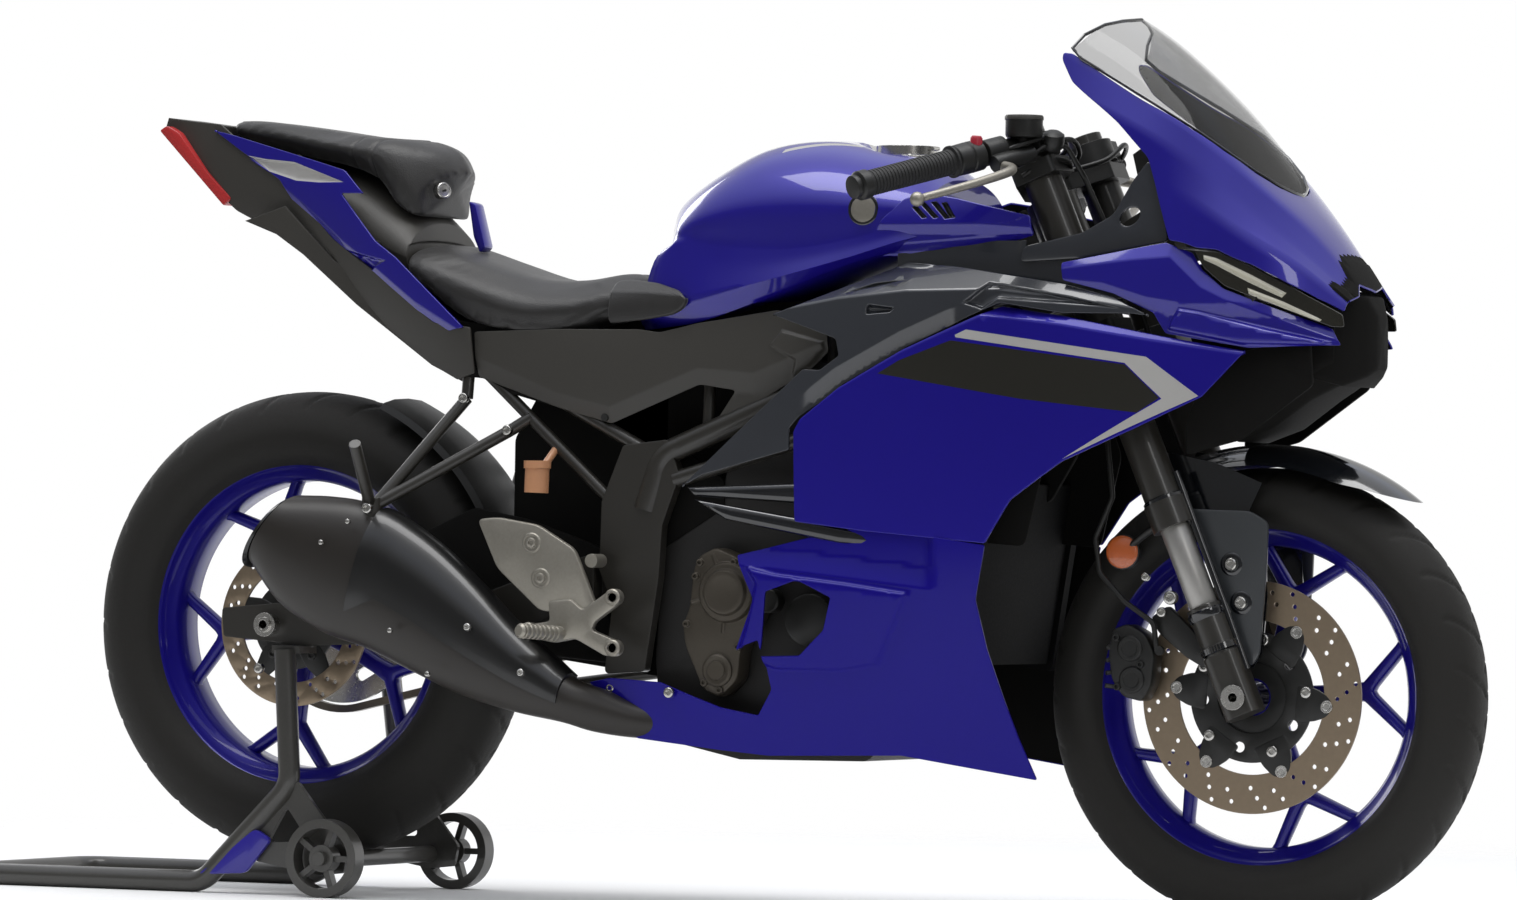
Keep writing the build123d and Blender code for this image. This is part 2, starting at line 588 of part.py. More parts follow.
HEAD_LOW, HEAD_HIGH = 520, 708
HEAD_R, HEAD_BORE_R = 34, 21
SPAR = [(490, 24, 842), (415, 90, 796), (226, 125, 704), (-40, 118, 592), (-62, 121, 520)]
LOW_SPAR = [(514, 24, 790), (432, 96, 740), (250, 122, 640), (-20, 121, 560)]
RAIL = [(-60, 120, 596), (-300, 104, 716), (-560, 70, 850), (-600, 62, 868)]
BRACE = [(-100, 121, 520), (-330, 104, 720)]
PIVOT_PLATE = [(-92, 604), (-28, 612), (-10, 566), (-34, 500), (-38, 430), (-56, 308), (-114, 304),
               (-104, 396), (-124, 440), (-122, 530)]
NOSE_STAY = [(537, 814), (512, 872), (612, 930), (655, 930), (722, 884), (808, 812), (796, 798), (700, 852),
             (640, 872)]

with BuildPart() as frame:
    with BuildSketch(STEER.offset(HEAD_LOW)) as head:
        Circle(HEAD_R)
    extrude(head.sketch, amount=HEAD_HIGH - HEAD_LOW)
    for points in (SPAR, mirrored(SPAR)):
        tube(points, 16, 45)
    for points in (LOW_SPAR, mirrored(LOW_SPAR)):
        tube(points, 11, 40)
    for points in (RAIL, mirrored(RAIL)):
        tube(points, 9, 30)
    for points in (BRACE, mirrored(BRACE)):
        rod(*points, 8)
    for x, y, z_low, z_high in ((200, 116, 690, 775), (200, -116, 690, 775), (20, 108, 612, 760),
                                (20, -108, 612, 760)):
        rod((x, y, z_low), (x, y * 0.9, z_high), 8)
    both_sides(PIVOT_PLATE, PLATE_IN, PLATE_OUT, corner=6)
    side_plate(NOSE_STAY, -10, 10)
    for x, z, reach, radius in ((-90, 330, PLATE_IN, 13), (-62, 590, PLATE_IN, 13), (-300, 716, 104, 8),
                                (-560, 850, 70, 8), (700, 868, 158, 8), (790, 802, 143, 8)):
        cross_bar(x, z, -reach, reach, radius)
    with BuildSketch(STEER.offset(HEAD_LOW - 1)) as head_bore:
        Circle(HEAD_BORE_R)
    extrude(head_bore.sketch, amount=HEAD_HIGH - HEAD_LOW + 2, mode=Mode.SUBTRACT)
    for panel in (nose_cowl, cheek_panels, headlights):
        add(panel.part, mode=Mode.SUBTRACT)
save(frame, "frame")

with BuildPart() as dash:
    side_plate([(612, 930), (598, 985), (614, 996), (660, 958), (660, 930)], -72, 72)
    add(frame.part, mode=Mode.SUBTRACT)
save(dash, "dash")

# Engine

CRANKCASE = [(-46, 240), (-54, 330), (-44, 470), (40, 522), (130, 505), (272, 440), (296, 330), (286, 225),
             (250, 198), (70, 196), (-20, 215)]
CYLINDER = [(20, 480), (62, 650), (238, 610), (250, 430)]
HEAD_COVER = [(60, 640), (74, 708), (120, 730), (240, 700), (262, 660), (250, 600)]
CHAIN_POCKET = [(-90, 340), (-90, 490), (40, 490), (40, 370), (-30, 362)]

with BuildPart() as engine:
    side_plate(CRANKCASE, -100, 100, corner=14)
    side_plate(CYLINDER, -95, 95)
    side_plate(HEAD_COVER, -104, 104, corner=8)
    side_plate(CHAIN_POCKET, 66, 101, mode=Mode.SUBTRACT)
    cross_bar(DRIVE_X, DRIVE_Z, 60, 90, DRIVE_R - 1)
    add(frame.part, mode=Mode.SUBTRACT)
save(engine, "engine")

CLUTCH_X, CLUTCH_Z = 79, 411

with BuildPart() as engine_covers:
    for low, high, radius in ((-122, -100, 76), (-150, -122, 58), (-158, -150, 34)):
        cross_bar(CLUTCH_X, CLUTCH_Z, low, high, radius)
    cross_bar(66, 300, -128, -100, 40)
    cross_bar(110, 350, 100, 140, 70)
    cross_bar(110, 350, 140, 148, 52)
    side_plate([(-56, 352), (-56, 486), (30, 496), (40, 352)], 100, 111, corner=8)
    add(frame.part, mode=Mode.SUBTRACT)
save(engine_covers, "engine_covers")

with BuildPart() as radiator:
    side_plate([(372, 330), (402, 326), (438, 560), (408, 565)], -140, 140)
    both_sides([(366, 322), (408, 316), (446, 568), (404, 574)], 140, 158, corner=6)
    add(side_fairings.part, mode=Mode.SUBTRACT)
save(radiator, "radiator")

MID_PIPE = [(262, -46, 628), (330, -46, 620), (330, -60, 300), (300, -119, 236), (60, -119, 234),
            (-134, -124, 256)]
SECOND_PIPE = [(262, 46, 628), (330, 46, 620), (330, 46, 330), (330, -50, 300)]

with BuildPart() as exhaust_pipes:
    tube(MID_PIPE, 18, 26)
    tube(SECOND_PIPE, 16, 24)
    add(engine.part, mode=Mode.SUBTRACT)
    add(engine_covers.part, mode=Mode.SUBTRACT)
save(exhaust_pipes, "exhaust_pipes")

# Muffler sections: x, y, z of the centre, width, height
MUFFLER = [(-134, -124, 256, 44, 44), (-250, -174, 318, 80, 92), (-390, -194, 400, 100, 150),
           (-520, -196, 446, 100, 150), (-588, -190, 470, 84, 96)]


def muffler_face(x, y, z, width, height):
    """A rounded section of the muffler, square to its sloping axis."""
    plane = Plane(origin=(x, y, z), x_dir=(0, 1, 0), z_dir=(-0.91, 0, 0.41))
    with BuildSketch(plane) as section:
        RectangleRounded(width, height, width * 0.3)
    return section.sketch.face()


with BuildPart() as muffler:
    loft([muffler_face(*section) for section in MUFFLER])
    add(exhaust_pipes.part, mode=Mode.SUBTRACT)
save(muffler, "muffler")

# Swingarm and rear suspension

SWINGARM = [(-132, 462), (-132, 398), (-300, 342), (-560, 332), (-681, 342), (-684, 380), (-560, 392),
            (-300, 404), (-200, 440)]

with BuildPart() as swingarm:
    both_sides(SWINGARM, ARM_IN, ARM_OUT, corner=5)
    side_plate([(-132, 446), (-132, 398), (-205, 388), (-205, 440)], -ARM_IN, ARM_IN)
    side_plate([(-132, 446), (-132, 404), (-86, 408), (-86, 452)], -104, 104)
    cross_bar(PIVOT_X, PIVOT_Z, -PLATE_IN, PLATE_IN, 24)
    for low, high in ((-ARM_OUT - 1, -ARM_IN + 1), (ARM_IN - 1, ARM_OUT + 1)):
        cross_bar(REAR_X, REAR_Z, low, high, AXLE_R, mode=Mode.SUBTRACT)
    add(engine_covers.part, mode=Mode.SUBTRACT)
save(swingarm, "swingarm")

with BuildPart() as rear_axle:
    cross_bar(REAR_X, REAR_Z, -150, 150, AXLE_R)
    cross_bar(REAR_X, REAR_Z, -ARM_IN, -66, 15)
    cross_bar(REAR_X, REAR_Z, 92, ARM_IN, 15)
    cross_bar(REAR_X, REAR_Z, -146, -ARM_OUT, 16)
    cross_bar(REAR_X, REAR_Z, ARM_OUT, 146, 16)
    cross_bar(REAR_X, REAR_Z, -151, 151, AXLE_BORE_R, mode=Mode.SUBTRACT)
save(rear_axle, "rear_axle")

with BuildPart() as shock:
    rod((-176, 0, 438), (-158, 0, 468), 14)
    rod((-158, 0, 468), (-100, 0, 560), 30)
    rod((-100, 0, 560), (-66, 0, 594), 14)
    add(frame.part, mode=Mode.SUBTRACT)
    add(swingarm.part, mode=Mode.SUBTRACT)
save(shock, "shock")


def chain_loop(margin):
    """Side outline round both sprockets at a distance from their pitch circles."""
    with Locations((REAR_X, REAR_Z)):
        Circle(SPROCKET_R + 8 + margin)
    with Locations((DRIVE_X, DRIVE_Z)):
        Circle(DRIVE_R + 8 + margin)


with BuildPart() as chain:
    with BuildSketch(Plane.XZ.offset(-CHAIN_Y - CHAIN_W / 2)) as loop:
        with BuildSketch(mode=Mode.PRIVATE) as hole:
            chain_loop(-CHAIN_H / 2 + 4)
            make_hull()
        chain_loop(CHAIN_H / 2 - 4)
        make_hull()
        add(hole.sketch, mode=Mode.SUBTRACT)
    extrude(loop.sketch, amount=CHAIN_W)
save(chain, "chain")

HUGGER_Y = 74

with BuildPart() as hugger:
    with BuildSketch(Plane.XZ.offset(-HUGGER_Y)) as guard:
        with Locations((REAR_X, REAR_Z)):
            Circle(REAR_R + 17)
            Circle(REAR_R + 14, mode=Mode.SUBTRACT)
        with BuildLine():
            Polyline((REAR_X, REAR_Z), (REAR_X + 420, REAR_Z + 40), (REAR_X + 330, REAR_Z + 420),
                     (REAR_X + 100, REAR_Z + 420), close=True)
        make_face(mode=Mode.INTERSECT)
    extrude(guard.sketch, amount=2 * HUGGER_Y)
    for low, high in ((-ARM_IN, -HUGGER_Y), (HUGGER_Y, ARM_IN)):
        cross_bar(REAR_X + REAR_R + 15, REAR_Z + 36, low, high, 5)
save(hugger, "hugger")

with BuildPart() as rear_brake:
    side_plate([(-566, 396), (-592, 466), (-530, 490), (-500, 440), (-520, 396)], -92, -49, corner=7)
    cross_bar(REAR_X, REAR_Z, -65, -53, REAR_DISC_R + 4, mode=Mode.SUBTRACT)
    side_plate([(-600, 384), (-588, 440), (-516, 440), (-508, 384)], -ARM_IN, -92, corner=5)
save(rear_brake, "rear_brake")

# Tank and seats. Stations: x, z_low, z_side, z_top, y_low, y_side
TANK_STATIONS = [
    (-86, 764, 800, 862, 60, 80), (-30, 748, 830, 948, 84, 112), (60, 742, 850, 1000, 100, 134),
    (160, 746, 880, 1012, 104, 152), (270, 800, 900, 992, 116, 154), (330, 850, 900, 962, 126, 150)]
TANK_POD = [(330, 870), (438, 890), (432, 903), (330, 914)]
CAP_X, CAP_Z, CAP_R, CAP_SEAT_R, CAP_T = 250, 988.5, 40, 46, 12
HINGE_Z = CAP_Z + CAP_T - 3

with BuildPart() as tank:
    crowned_body(TANK_STATIONS)
    both_sides(TANK_POD, 138, 150)
    with BuildSketch(Plane(origin=(CAP_X, 0, 1010))) as cap_seat:
        Circle(CAP_SEAT_R)
    extrude(cap_seat.sketch, amount=-22, mode=Mode.SUBTRACT)
    add(frame.part, mode=Mode.SUBTRACT)
save(tank, "tank")

with BuildPart() as fuel_cap:
    with BuildSketch(Plane(origin=(CAP_X, 0, CAP_Z))) as lid:
        Circle(CAP_R)
    extrude(lid.sketch, amount=CAP_T)
    cross_bar(CAP_X + CAP_R, HINGE_Z, -10, 10, 3)
save(fuel_cap, "fuel_cap")

SEAT_STATIONS = [
    (-428, 826, 858, 874, 112, 122), (-330, 760, 812, 868, 120, 136), (-200, 754, 790, 820, 122, 138),
    (-110, 760, 800, 834, 110, 128), (-96, 762, 800, 830, 90, 110)]

with BuildPart() as seat:
    crowned_body(SEAT_STATIONS)
save(seat, "seat")

PILLION_STATIONS = [
    (-726, 1010, 1024, 1032, 44, 50), (-560, 985, 1000, 1014, 80, 86), (-440, 930, 960, 1006, 100, 108),
    (-360, 905, 930, 962, 84, 92)]

with BuildPart() as pillion_seat:
    crowned_body(PILLION_STATIONS)
save(pillion_seat, "pillion_seat")

TAIL_STATIONS = [
    (-760, (52, 900), (64, 985), (62, 1035)), (-600, (80, 860), (98, 945), (92, 1010)),
    (-460, (112, 780), (132, 870), (120, 960)), (-320, (136, 720), (144, 790), (138, 880))]
TAIL_OUTLINE = [(-744, 1024), (-628, 955), (-610, 928), (-541, 860), (-457, 807), (-375, 748), (-325, 757),
                (-430, 850), (-463, 872), (-522, 936), (-486, 936), (-519, 967), (-560, 978), (-711, 1017)]

with BuildPart() as tail_panels:
    side_panel(TAIL_STATIONS, TAIL_OUTLINE)
save(tail_panels, "tail_panels")

# Seat pan, tail core and the black edge under the tail panels
SEAT_PAN = [(-110, 735), (-300, 727), (-428, 790), (-428, 824), (-330, 758), (-200, 752), (-110, 758)]
CORE_STATIONS = [
    (-738, 950, 985, 1006, 40, 48), (-600, 880, 930, 984, 66, 84), (-450, 806, 860, 926, 92, 106),
    (-426, 796, 850, 900, 92, 106)]
TAIL_END = [(-822, 1042), (-827, 1026), (-790, 985), (-722, 930), (-708, 914), (-677, 900), (-628, 884),
            (-690, 940), (-740, 985), (-730, 1030)]
LOWER_EDGE = [(-676, 900), (-628, 882), (-587, 855), (-505, 788), (-391, 708), (-344, 686), (-336, 700),
              (-372, 736), (-457, 794), (-541, 848), (-616, 920)]

with BuildPart() as undertail:
    side_plate(SEAT_PAN, -92, 92)
    crowned_body(CORE_STATIONS)
    side_plate(TAIL_END, -50, 50)
    both_sides(LOWER_EDGE, 96, 99)
    cross_bar(-470, 820, -97, 97, 7)
    for piece in (frame, seat, pillion_seat, tail_panels):
        add(piece.part, mode=Mode.SUBTRACT)
save(undertail, "undertail")

with BuildPart() as tail_light:
    side_plate([(-828, 1024), (-836, 1022), (-732, 922), (-724, 930), (-790, 986)], -44, 44)
    add(undertail.part, mode=Mode.SUBTRACT)
save(tail_light, "tail_light")

COVER_STATIONS = [
    (-330, (118, 620), (124, 700), (124, 780)), (-120, (128, 600), (136, 690), (128, 780)),
    (60, (134, 600), (142, 690), (136, 780)), (240, (146, 600), (152, 700), (148, 780))]
COVER_OUTLINE = [(-304, 746), (-190, 748), (-71, 752), (-40, 742), (133, 764), (206, 746), (208, 728),
                 (182, 706), (30, 622), (70, 677), (18, 684), (-111, 632), (-190, 652), (-298, 697)]

with BuildPart() as side_covers:
    side_panel(COVER_STATIONS, COVER_OUTLINE)
    add(frame.part, mode=Mode.SUBTRACT)
save(side_covers, "side_covers")

# Stays between the frame or engine and the panels: x, z, distance from the middle at both ends
STAYS = [(432, 740, 96, 198), (300, 742, 112, 185.5), (286, 300, 96, 166), (0, 250, 96, 148),
         (-470, 868, 96, 127.9), (-120, 640, 112, 132)]

with BuildPart() as fairing_stays:
    for x, z, y_in, y_out in STAYS:
        for low, high in ((-y_out, -y_in), (y_in, y_out)):
            cross_bar(x, z, low, high, 5)
    for piece in (frame, engine, engine_covers, radiator, exhaust_pipes, undertail, side_fairings,
                  lower_fairings, scoop_panels, tail_panels, side_covers):
        add(piece.part, mode=Mode.SUBTRACT)
save(fairing_stays, "fairing_stays")

# Rider's and pillion's foot rests

HEEL = [(-277, 503), (-246, 508), (-187, 499), (-133, 468), (-97, 390), (-108, 384), (-182, 385), (-246, 442)]
PEG_BRACKET = [(-170, 402), (-150, 336), (-66, 328), (-64, 346), (-112, 356), (-70, 398), (-76, 414),
               (-118, 388)]
REST_Y, REST_T = 174, 7

with BuildPart() as rearsets:
    for side in (-1, 1):
        near, far = sorted((side * REST_Y, side * (REST_Y + REST_T)))
        base, top = sorted((side * PLATE_OUT, side * REST_Y))
        side_plate(HEEL, near, far, corner=5)
        side_plate(PEG_BRACKET, near, far)
        cross_bar(-110, 470, base, top, 9)
        cross_bar(-108, 388, base, top, 9)
        rod((-150, side * 181, 356), (-180, side * 262, 360), 9)
        tube([(-90, side * 188, 340), (20, side * 190, 322), (74, side * 222, 314)], 6, 15)
save(rearsets, "rearsets")

with BuildPart() as brake_reservoir:
    rod((-204, -158, 540), (-203, -158, 572), 16)
    rod((-203, -158, 572), (-203, -158, 582), 18)
    rod((-203, -158, 562), (-196, -112, 602), 5)
    add(frame.part, mode=Mode.SUBTRACT)
save(brake_reservoir, "brake_reservoir")

with BuildPart() as pillion_hangers:
    for side in (-1, 1):
        rod((-331, side * 112, 664), (-420, side * 200, 520), 8)
        rod((-261, side * 122, 622), (-420, side * 200, 520), 8)
        rod((-424, side * 200, 500), (-424, side * 200, 530), 14)
        rod((-424, side * 206, 520), (-408, side * 284, 600), 8)
        rod((-331, side * 112, 664), (-331, side * 104, 722), 8)
        rod((-261, side * 122, 622), (-235, side * 112, 640), 8)
    add(muffler.part, mode=Mode.SUBTRACT)
    add(frame.part, mode=Mode.SUBTRACT)
save(pillion_hangers, "pillion_hangers")

# Side stand, folded back along the left side

STAND_PIVOT_X, STAND_PIVOT_Z = -100, 312

with BuildPart() as side_stand:
    cross_bar(STAND_PIVOT_X, STAND_PIVOT_Z, PLATE_OUT + 0.5, 176, 11)
    rod((STAND_PIVOT_X, 168, STAND_PIVOT_Z), (-320, 170, 282), 8)
    rod((-320, 170, 282), (-346, 178, 276), 12)
save(side_stand, "side_stand")

# Paddock stand

PAD_X, PAD_TOP = -577, 331.5
BAR_X = REAR_X - STAND_REACH + STAND_TUBE_R
STAND_LEG = [(PAD_X, 150, PAD_TOP - 6), (-560, 162, 146), (-688, 162, STAND_TUBE_R),
             (BAR_X, 162, STAND_TUBE_R)]
STAND_PLATE = [(-572, 156), (-545, 150), (-470, 60), (-476, 32), (-512, 28), (-640, 50)]
STAND_WINDOW = [(-562, 118), (-528, 72), (-590, 70)]

with BuildPart() as paddock_stand:
    tube(STAND_LEG + mirrored(STAND_LEG)[::-1], STAND_TUBE_R, 40)
    for side in (-1, 1):
        near, far = sorted((side * 102, side * 150))
        side_plate([(PAD_X - 20, PAD_TOP), (PAD_X + 22, PAD_TOP), (PAD_X + 22, PAD_TOP - 10),
                    (PAD_X - 20, PAD_TOP - 10)], near, far)
        near, far = sorted((side * 159, side * 166))
        side_plate(STAND_PLATE, near, far, corner=6)
        side_plate(STAND_WINDOW, near - 1, far + 1, corner=5, mode=Mode.SUBTRACT)
        near, far = sorted((side * 160, side * (ROLLER_Y + ROLLER_W / 2 + 6)))
        cross_bar(ROLLER_X, ROLLER_R, near, far, 9)
    cross_bar(-512, 48, -160, 160, 11)
save(paddock_stand, "paddock_stand")

for side, name in ((-1, "roller_right"), (1, "roller_left")):
    low, high = sorted((side * (ROLLER_Y - ROLLER_W / 2), side * (ROLLER_Y + ROLLER_W / 2)))
    with BuildPart() as roller:
        ring(ROLLER_X, ROLLER_R, low, high, ROLLER_R, 40)
        ring(ROLLER_X, ROLLER_R, low + 2, high - 2, 18, 9 + RUN_GAP)
        with BuildSketch(Plane.XZ.offset(-high + 6)) as spokes:
            with Locations((ROLLER_X, ROLLER_R)):
                with PolarLocations(29, 5):
                    Rectangle(26, 8)
        extrude(spokes.sketch, amount=ROLLER_W - 12)
    save(roller, name)
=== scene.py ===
"""Looks of the sport bike on its paddock stand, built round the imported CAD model.

Tables are in millimetres in the row frame, as in the CAD source, and become metres when a mesh is
made. Side outlines are lists of (x, z) points. Most pieces are drawn for the right side, where y is
negative, and mirrored.
"""

from math import cos, pi, radians, sin

import bmesh
import bpy
import numpy as np
from mathutils import Matrix, Vector
from mathutils.geometry import delaunay_2d_cdt


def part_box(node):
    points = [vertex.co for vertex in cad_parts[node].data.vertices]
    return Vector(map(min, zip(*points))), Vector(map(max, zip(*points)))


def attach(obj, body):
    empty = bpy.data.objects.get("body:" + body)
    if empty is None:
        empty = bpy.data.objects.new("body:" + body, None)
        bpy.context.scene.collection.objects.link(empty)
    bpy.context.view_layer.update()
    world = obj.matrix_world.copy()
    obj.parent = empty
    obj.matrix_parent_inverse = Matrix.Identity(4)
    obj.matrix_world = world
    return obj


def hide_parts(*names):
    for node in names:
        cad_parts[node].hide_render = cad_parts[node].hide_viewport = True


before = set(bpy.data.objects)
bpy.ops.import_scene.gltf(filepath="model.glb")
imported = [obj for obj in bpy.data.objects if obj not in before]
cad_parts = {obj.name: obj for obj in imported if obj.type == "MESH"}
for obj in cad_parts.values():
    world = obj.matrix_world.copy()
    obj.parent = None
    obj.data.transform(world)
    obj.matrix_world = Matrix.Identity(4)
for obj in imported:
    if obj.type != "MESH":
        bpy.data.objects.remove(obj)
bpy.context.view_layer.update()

MM = 0.001
TURN = 2 * pi
TIP = 0.01                             # radius at the closed end of a turned body
RIGHT, LEFT, UP = (0, -1, 0), (0, 1, 0), (0, 0, 1)
RIGHT_TO_LEFT = (1, -1, 1)
FRONT = (768.5, 293.0)                 # wheel centres
REAR = (-611.5, 359.0)
RAKE = radians(23.13)
AXLE_LEAD = 37.7                       # of the front axle ahead of the steering line
STEM_UP = np.array([-sin(RAKE), 0, cos(RAKE)])
STEM_FORWARD = np.array([cos(RAKE), 0, sin(RAKE)])
STEER_BASE = np.array([FRONT[0], 0, FRONT[1]]) - STEM_FORWARD * AXLE_LEAD
LEG_LEAD, LEG_Y = 35, 97               # of the fork legs ahead of the steering line and beside it

# Camera, light and floor, in metres

HEADING, TILT, ROLL = radians(24.69), radians(0.62), radians(0.95)
CAMERA_PLACE = (4.6095, -9.932, 0.483)
FOCAL_PIXELS, PHOTO_PIXELS, SENSOR = 8295, 1517, 36
SKY = (0.80, 0.84, 0.95)
DIM_WALL = [(0.0, 0.16), (0.12, 0.13), (0.34, 0.12), (0.5, 0.42), (0.7, SKY), (1.0, 1.0)]
WHITE_WALL = [(0.0, 1.0), (0.2, 1.0), (0.36, 0.5), (0.55, 0.6), (0.7, SKY), (1.0, 1.0)]
WALLS_MEET = (-0.1, 0.45)
LAMPS = [("ceiling", (0.2, -0.5, 4.4), (0.0, 0, 0.4), (4.6, 1.6), 110),
         ("front_strip", (4.4, -3.6, 2.8), (0.5, 0, 0.7), (0.9, 2.2), 26),
         ("rear_strip", (-4.2, 2.8, 2.6), (-0.3, 0, 0.6), (1.4, 1.8), 30)]
FLOOR_RADIUS, FLOOR_FADE = 3.4, (1.5, 3.2)


def placed(name, data):
    """A new object that stands in the scene."""
    thing = bpy.data.objects.new(name, data)
    bpy.context.scene.collection.objects.link(thing)
    return thing


def new_node(tree, kind, inputs=None, **settings):
    """A shader node with its settings; inputs maps a socket to a value or to another node's output."""
    made = tree.nodes.new("ShaderNode" + kind)
    for key, setting in settings.items():
        setattr(made, key, setting)
    for socket, given in (inputs or {}).items():
        if isinstance(given, bpy.types.NodeSocket):
            tree.links.new(given, made.inputs[socket])
        else:
            made.inputs[socket].default_value = given
    return made


def aim_camera():
    """The camera of the photograph, found from the outlines of both rims."""
    ahead = Vector((-sin(HEADING) * cos(TILT), cos(HEADING) * cos(TILT), sin(TILT)))
    level = Vector((cos(HEADING), sin(HEADING), 0))
    up = level.cross(ahead)
    right = level * cos(ROLL) + up * sin(ROLL)
    top = up * cos(ROLL) - level * sin(ROLL)
    data = bpy.data.cameras.new("camera")
    data.sensor_width = SENSOR
    data.lens = SENSOR * FOCAL_PIXELS / PHOTO_PIXELS
    data.clip_end = 300
    bpy.context.scene.view_settings.view_transform = "Standard"
    camera = placed("camera", data)
    facing = Matrix((right, top, -ahead)).transposed().to_4x4()
    camera.matrix_world = Matrix.Translation(CAMERA_PLACE) @ facing
    bpy.context.scene.camera = camera


def area_light(name, place, target, extent, power):
    data = bpy.data.lights.new(name, "AREA")
    data.shape = "RECTANGLE"
    data.size, data.size_y = extent
    data.energy = power
    lamp = placed(name, data)
    lamp.location = place
    lamp.rotation_euler = (Vector(target) - Vector(place)).to_track_quat("-Z", "Y").to_euler()


def wall(tree, height, steps):
    """The brightness of one end of the hall up to its ceiling; steps are (height, grey level or tint)."""
    made = new_node(tree, "ValToRGB", {"Fac": height})
    stops = made.color_ramp.elements
    stops[0].position, stops[1].position = steps[0][0], steps[-1][0]
    for position, _ in steps[1:-1]:
        stops.new(position)
    for stop, (position, level) in zip(stops, steps):
        stop.position = position
        stop.color = (*(level if isinstance(level, tuple) else (level,) * 3), 1)
    return made.outputs["Color"]


def light_hall():
    """A hall with an open white end behind the bike, a dim side behind the camera and a bright ceiling."""
    world = bpy.data.worlds.new("studio")
    bpy.context.scene.world = world
    world.use_nodes = True
    tree = world.node_tree
    place = new_node(tree, "TexCoord").outputs["Generated"]
    split = new_node(tree, "SeparateXYZ", {0: place}).outputs
    behind = new_node(tree, "MapRange", {"Value": split["Y"], "From Min": WALLS_MEET[0],
                                         "From Max": WALLS_MEET[1]}, interpolation_type="SMOOTHSTEP")
    both = new_node(tree, "MixRGB", {"Fac": behind.outputs["Result"],
                                     "Color1": wall(tree, split["Z"], DIM_WALL),
                                     "Color2": wall(tree, split["Z"], WHITE_WALL)})
    tree.links.new(both.outputs["Color"], tree.nodes["Background"].inputs["Color"])
    for lamp in LAMPS:
        area_light(*lamp)


def lay_floor():
    """A pale disc that takes the shadows and fades out before its edge."""
    disc = bmesh.new()
    bmesh.ops.create_circle(disc, cap_ends=True, segments=96, radius=FLOOR_RADIUS)
    mesh = bpy.data.meshes.new("floor")
    disc.to_mesh(mesh)
    disc.free()
    pale = shader("floor_pale", (0.92, 0.92, 0.91), 0.85, specular=0.1, vary=(3, 0.01))
    tree = pale.node_tree
    spot = new_node(tree, "TexCoord").outputs["Object"]
    reach = new_node(tree, "VectorMath", {0: spot}, operation="LENGTH").outputs["Value"]
    fade = new_node(tree, "MapRange", {"Value": reach, "From Min": FLOOR_FADE[0], "From Max": FLOOR_FADE[1],
                                       "To Min": 1, "To Max": 0}, interpolation_type="SMOOTHSTEP")
    tree.links.new(fade.outputs["Result"], tree.nodes["Principled BSDF"].inputs["Alpha"])
    mesh.materials.append(pale)
    placed("floor", mesh)


# Materials


def striped(tree, place, finish, stripes):
    """Lays stripes over a colour, alike on both sides of the bike. A stripe is a tint and the planes it lies
    below, each a direction and a distance along it."""
    split = new_node(tree, "SeparateXYZ", {0: place}).outputs
    aside = new_node(tree, "Math", {0: split["Y"]}, operation="ABSOLUTE").outputs[0]
    folded = new_node(tree, "CombineXYZ", {"X": split["X"], "Y": aside, "Z": split["Z"]}).outputs[0]
    for tint, planes in stripes:
        mask = 1.0
        for way, limit in planes:
            along = new_node(tree, "VectorMath", {0: folded, 1: way},
                             operation="DOT_PRODUCT").outputs["Value"]
            below = new_node(tree, "Math", {0: along, 1: limit * MM}, operation="LESS_THAN").outputs[0]
            mask = new_node(tree, "Math", {0: mask, 1: below}, operation="MULTIPLY").outputs[0]
        finish = new_node(tree, "MixRGB", {"Fac": mask, "Color1": finish,
                                           "Color2": (*tint, 1)}).outputs["Color"]
    return finish


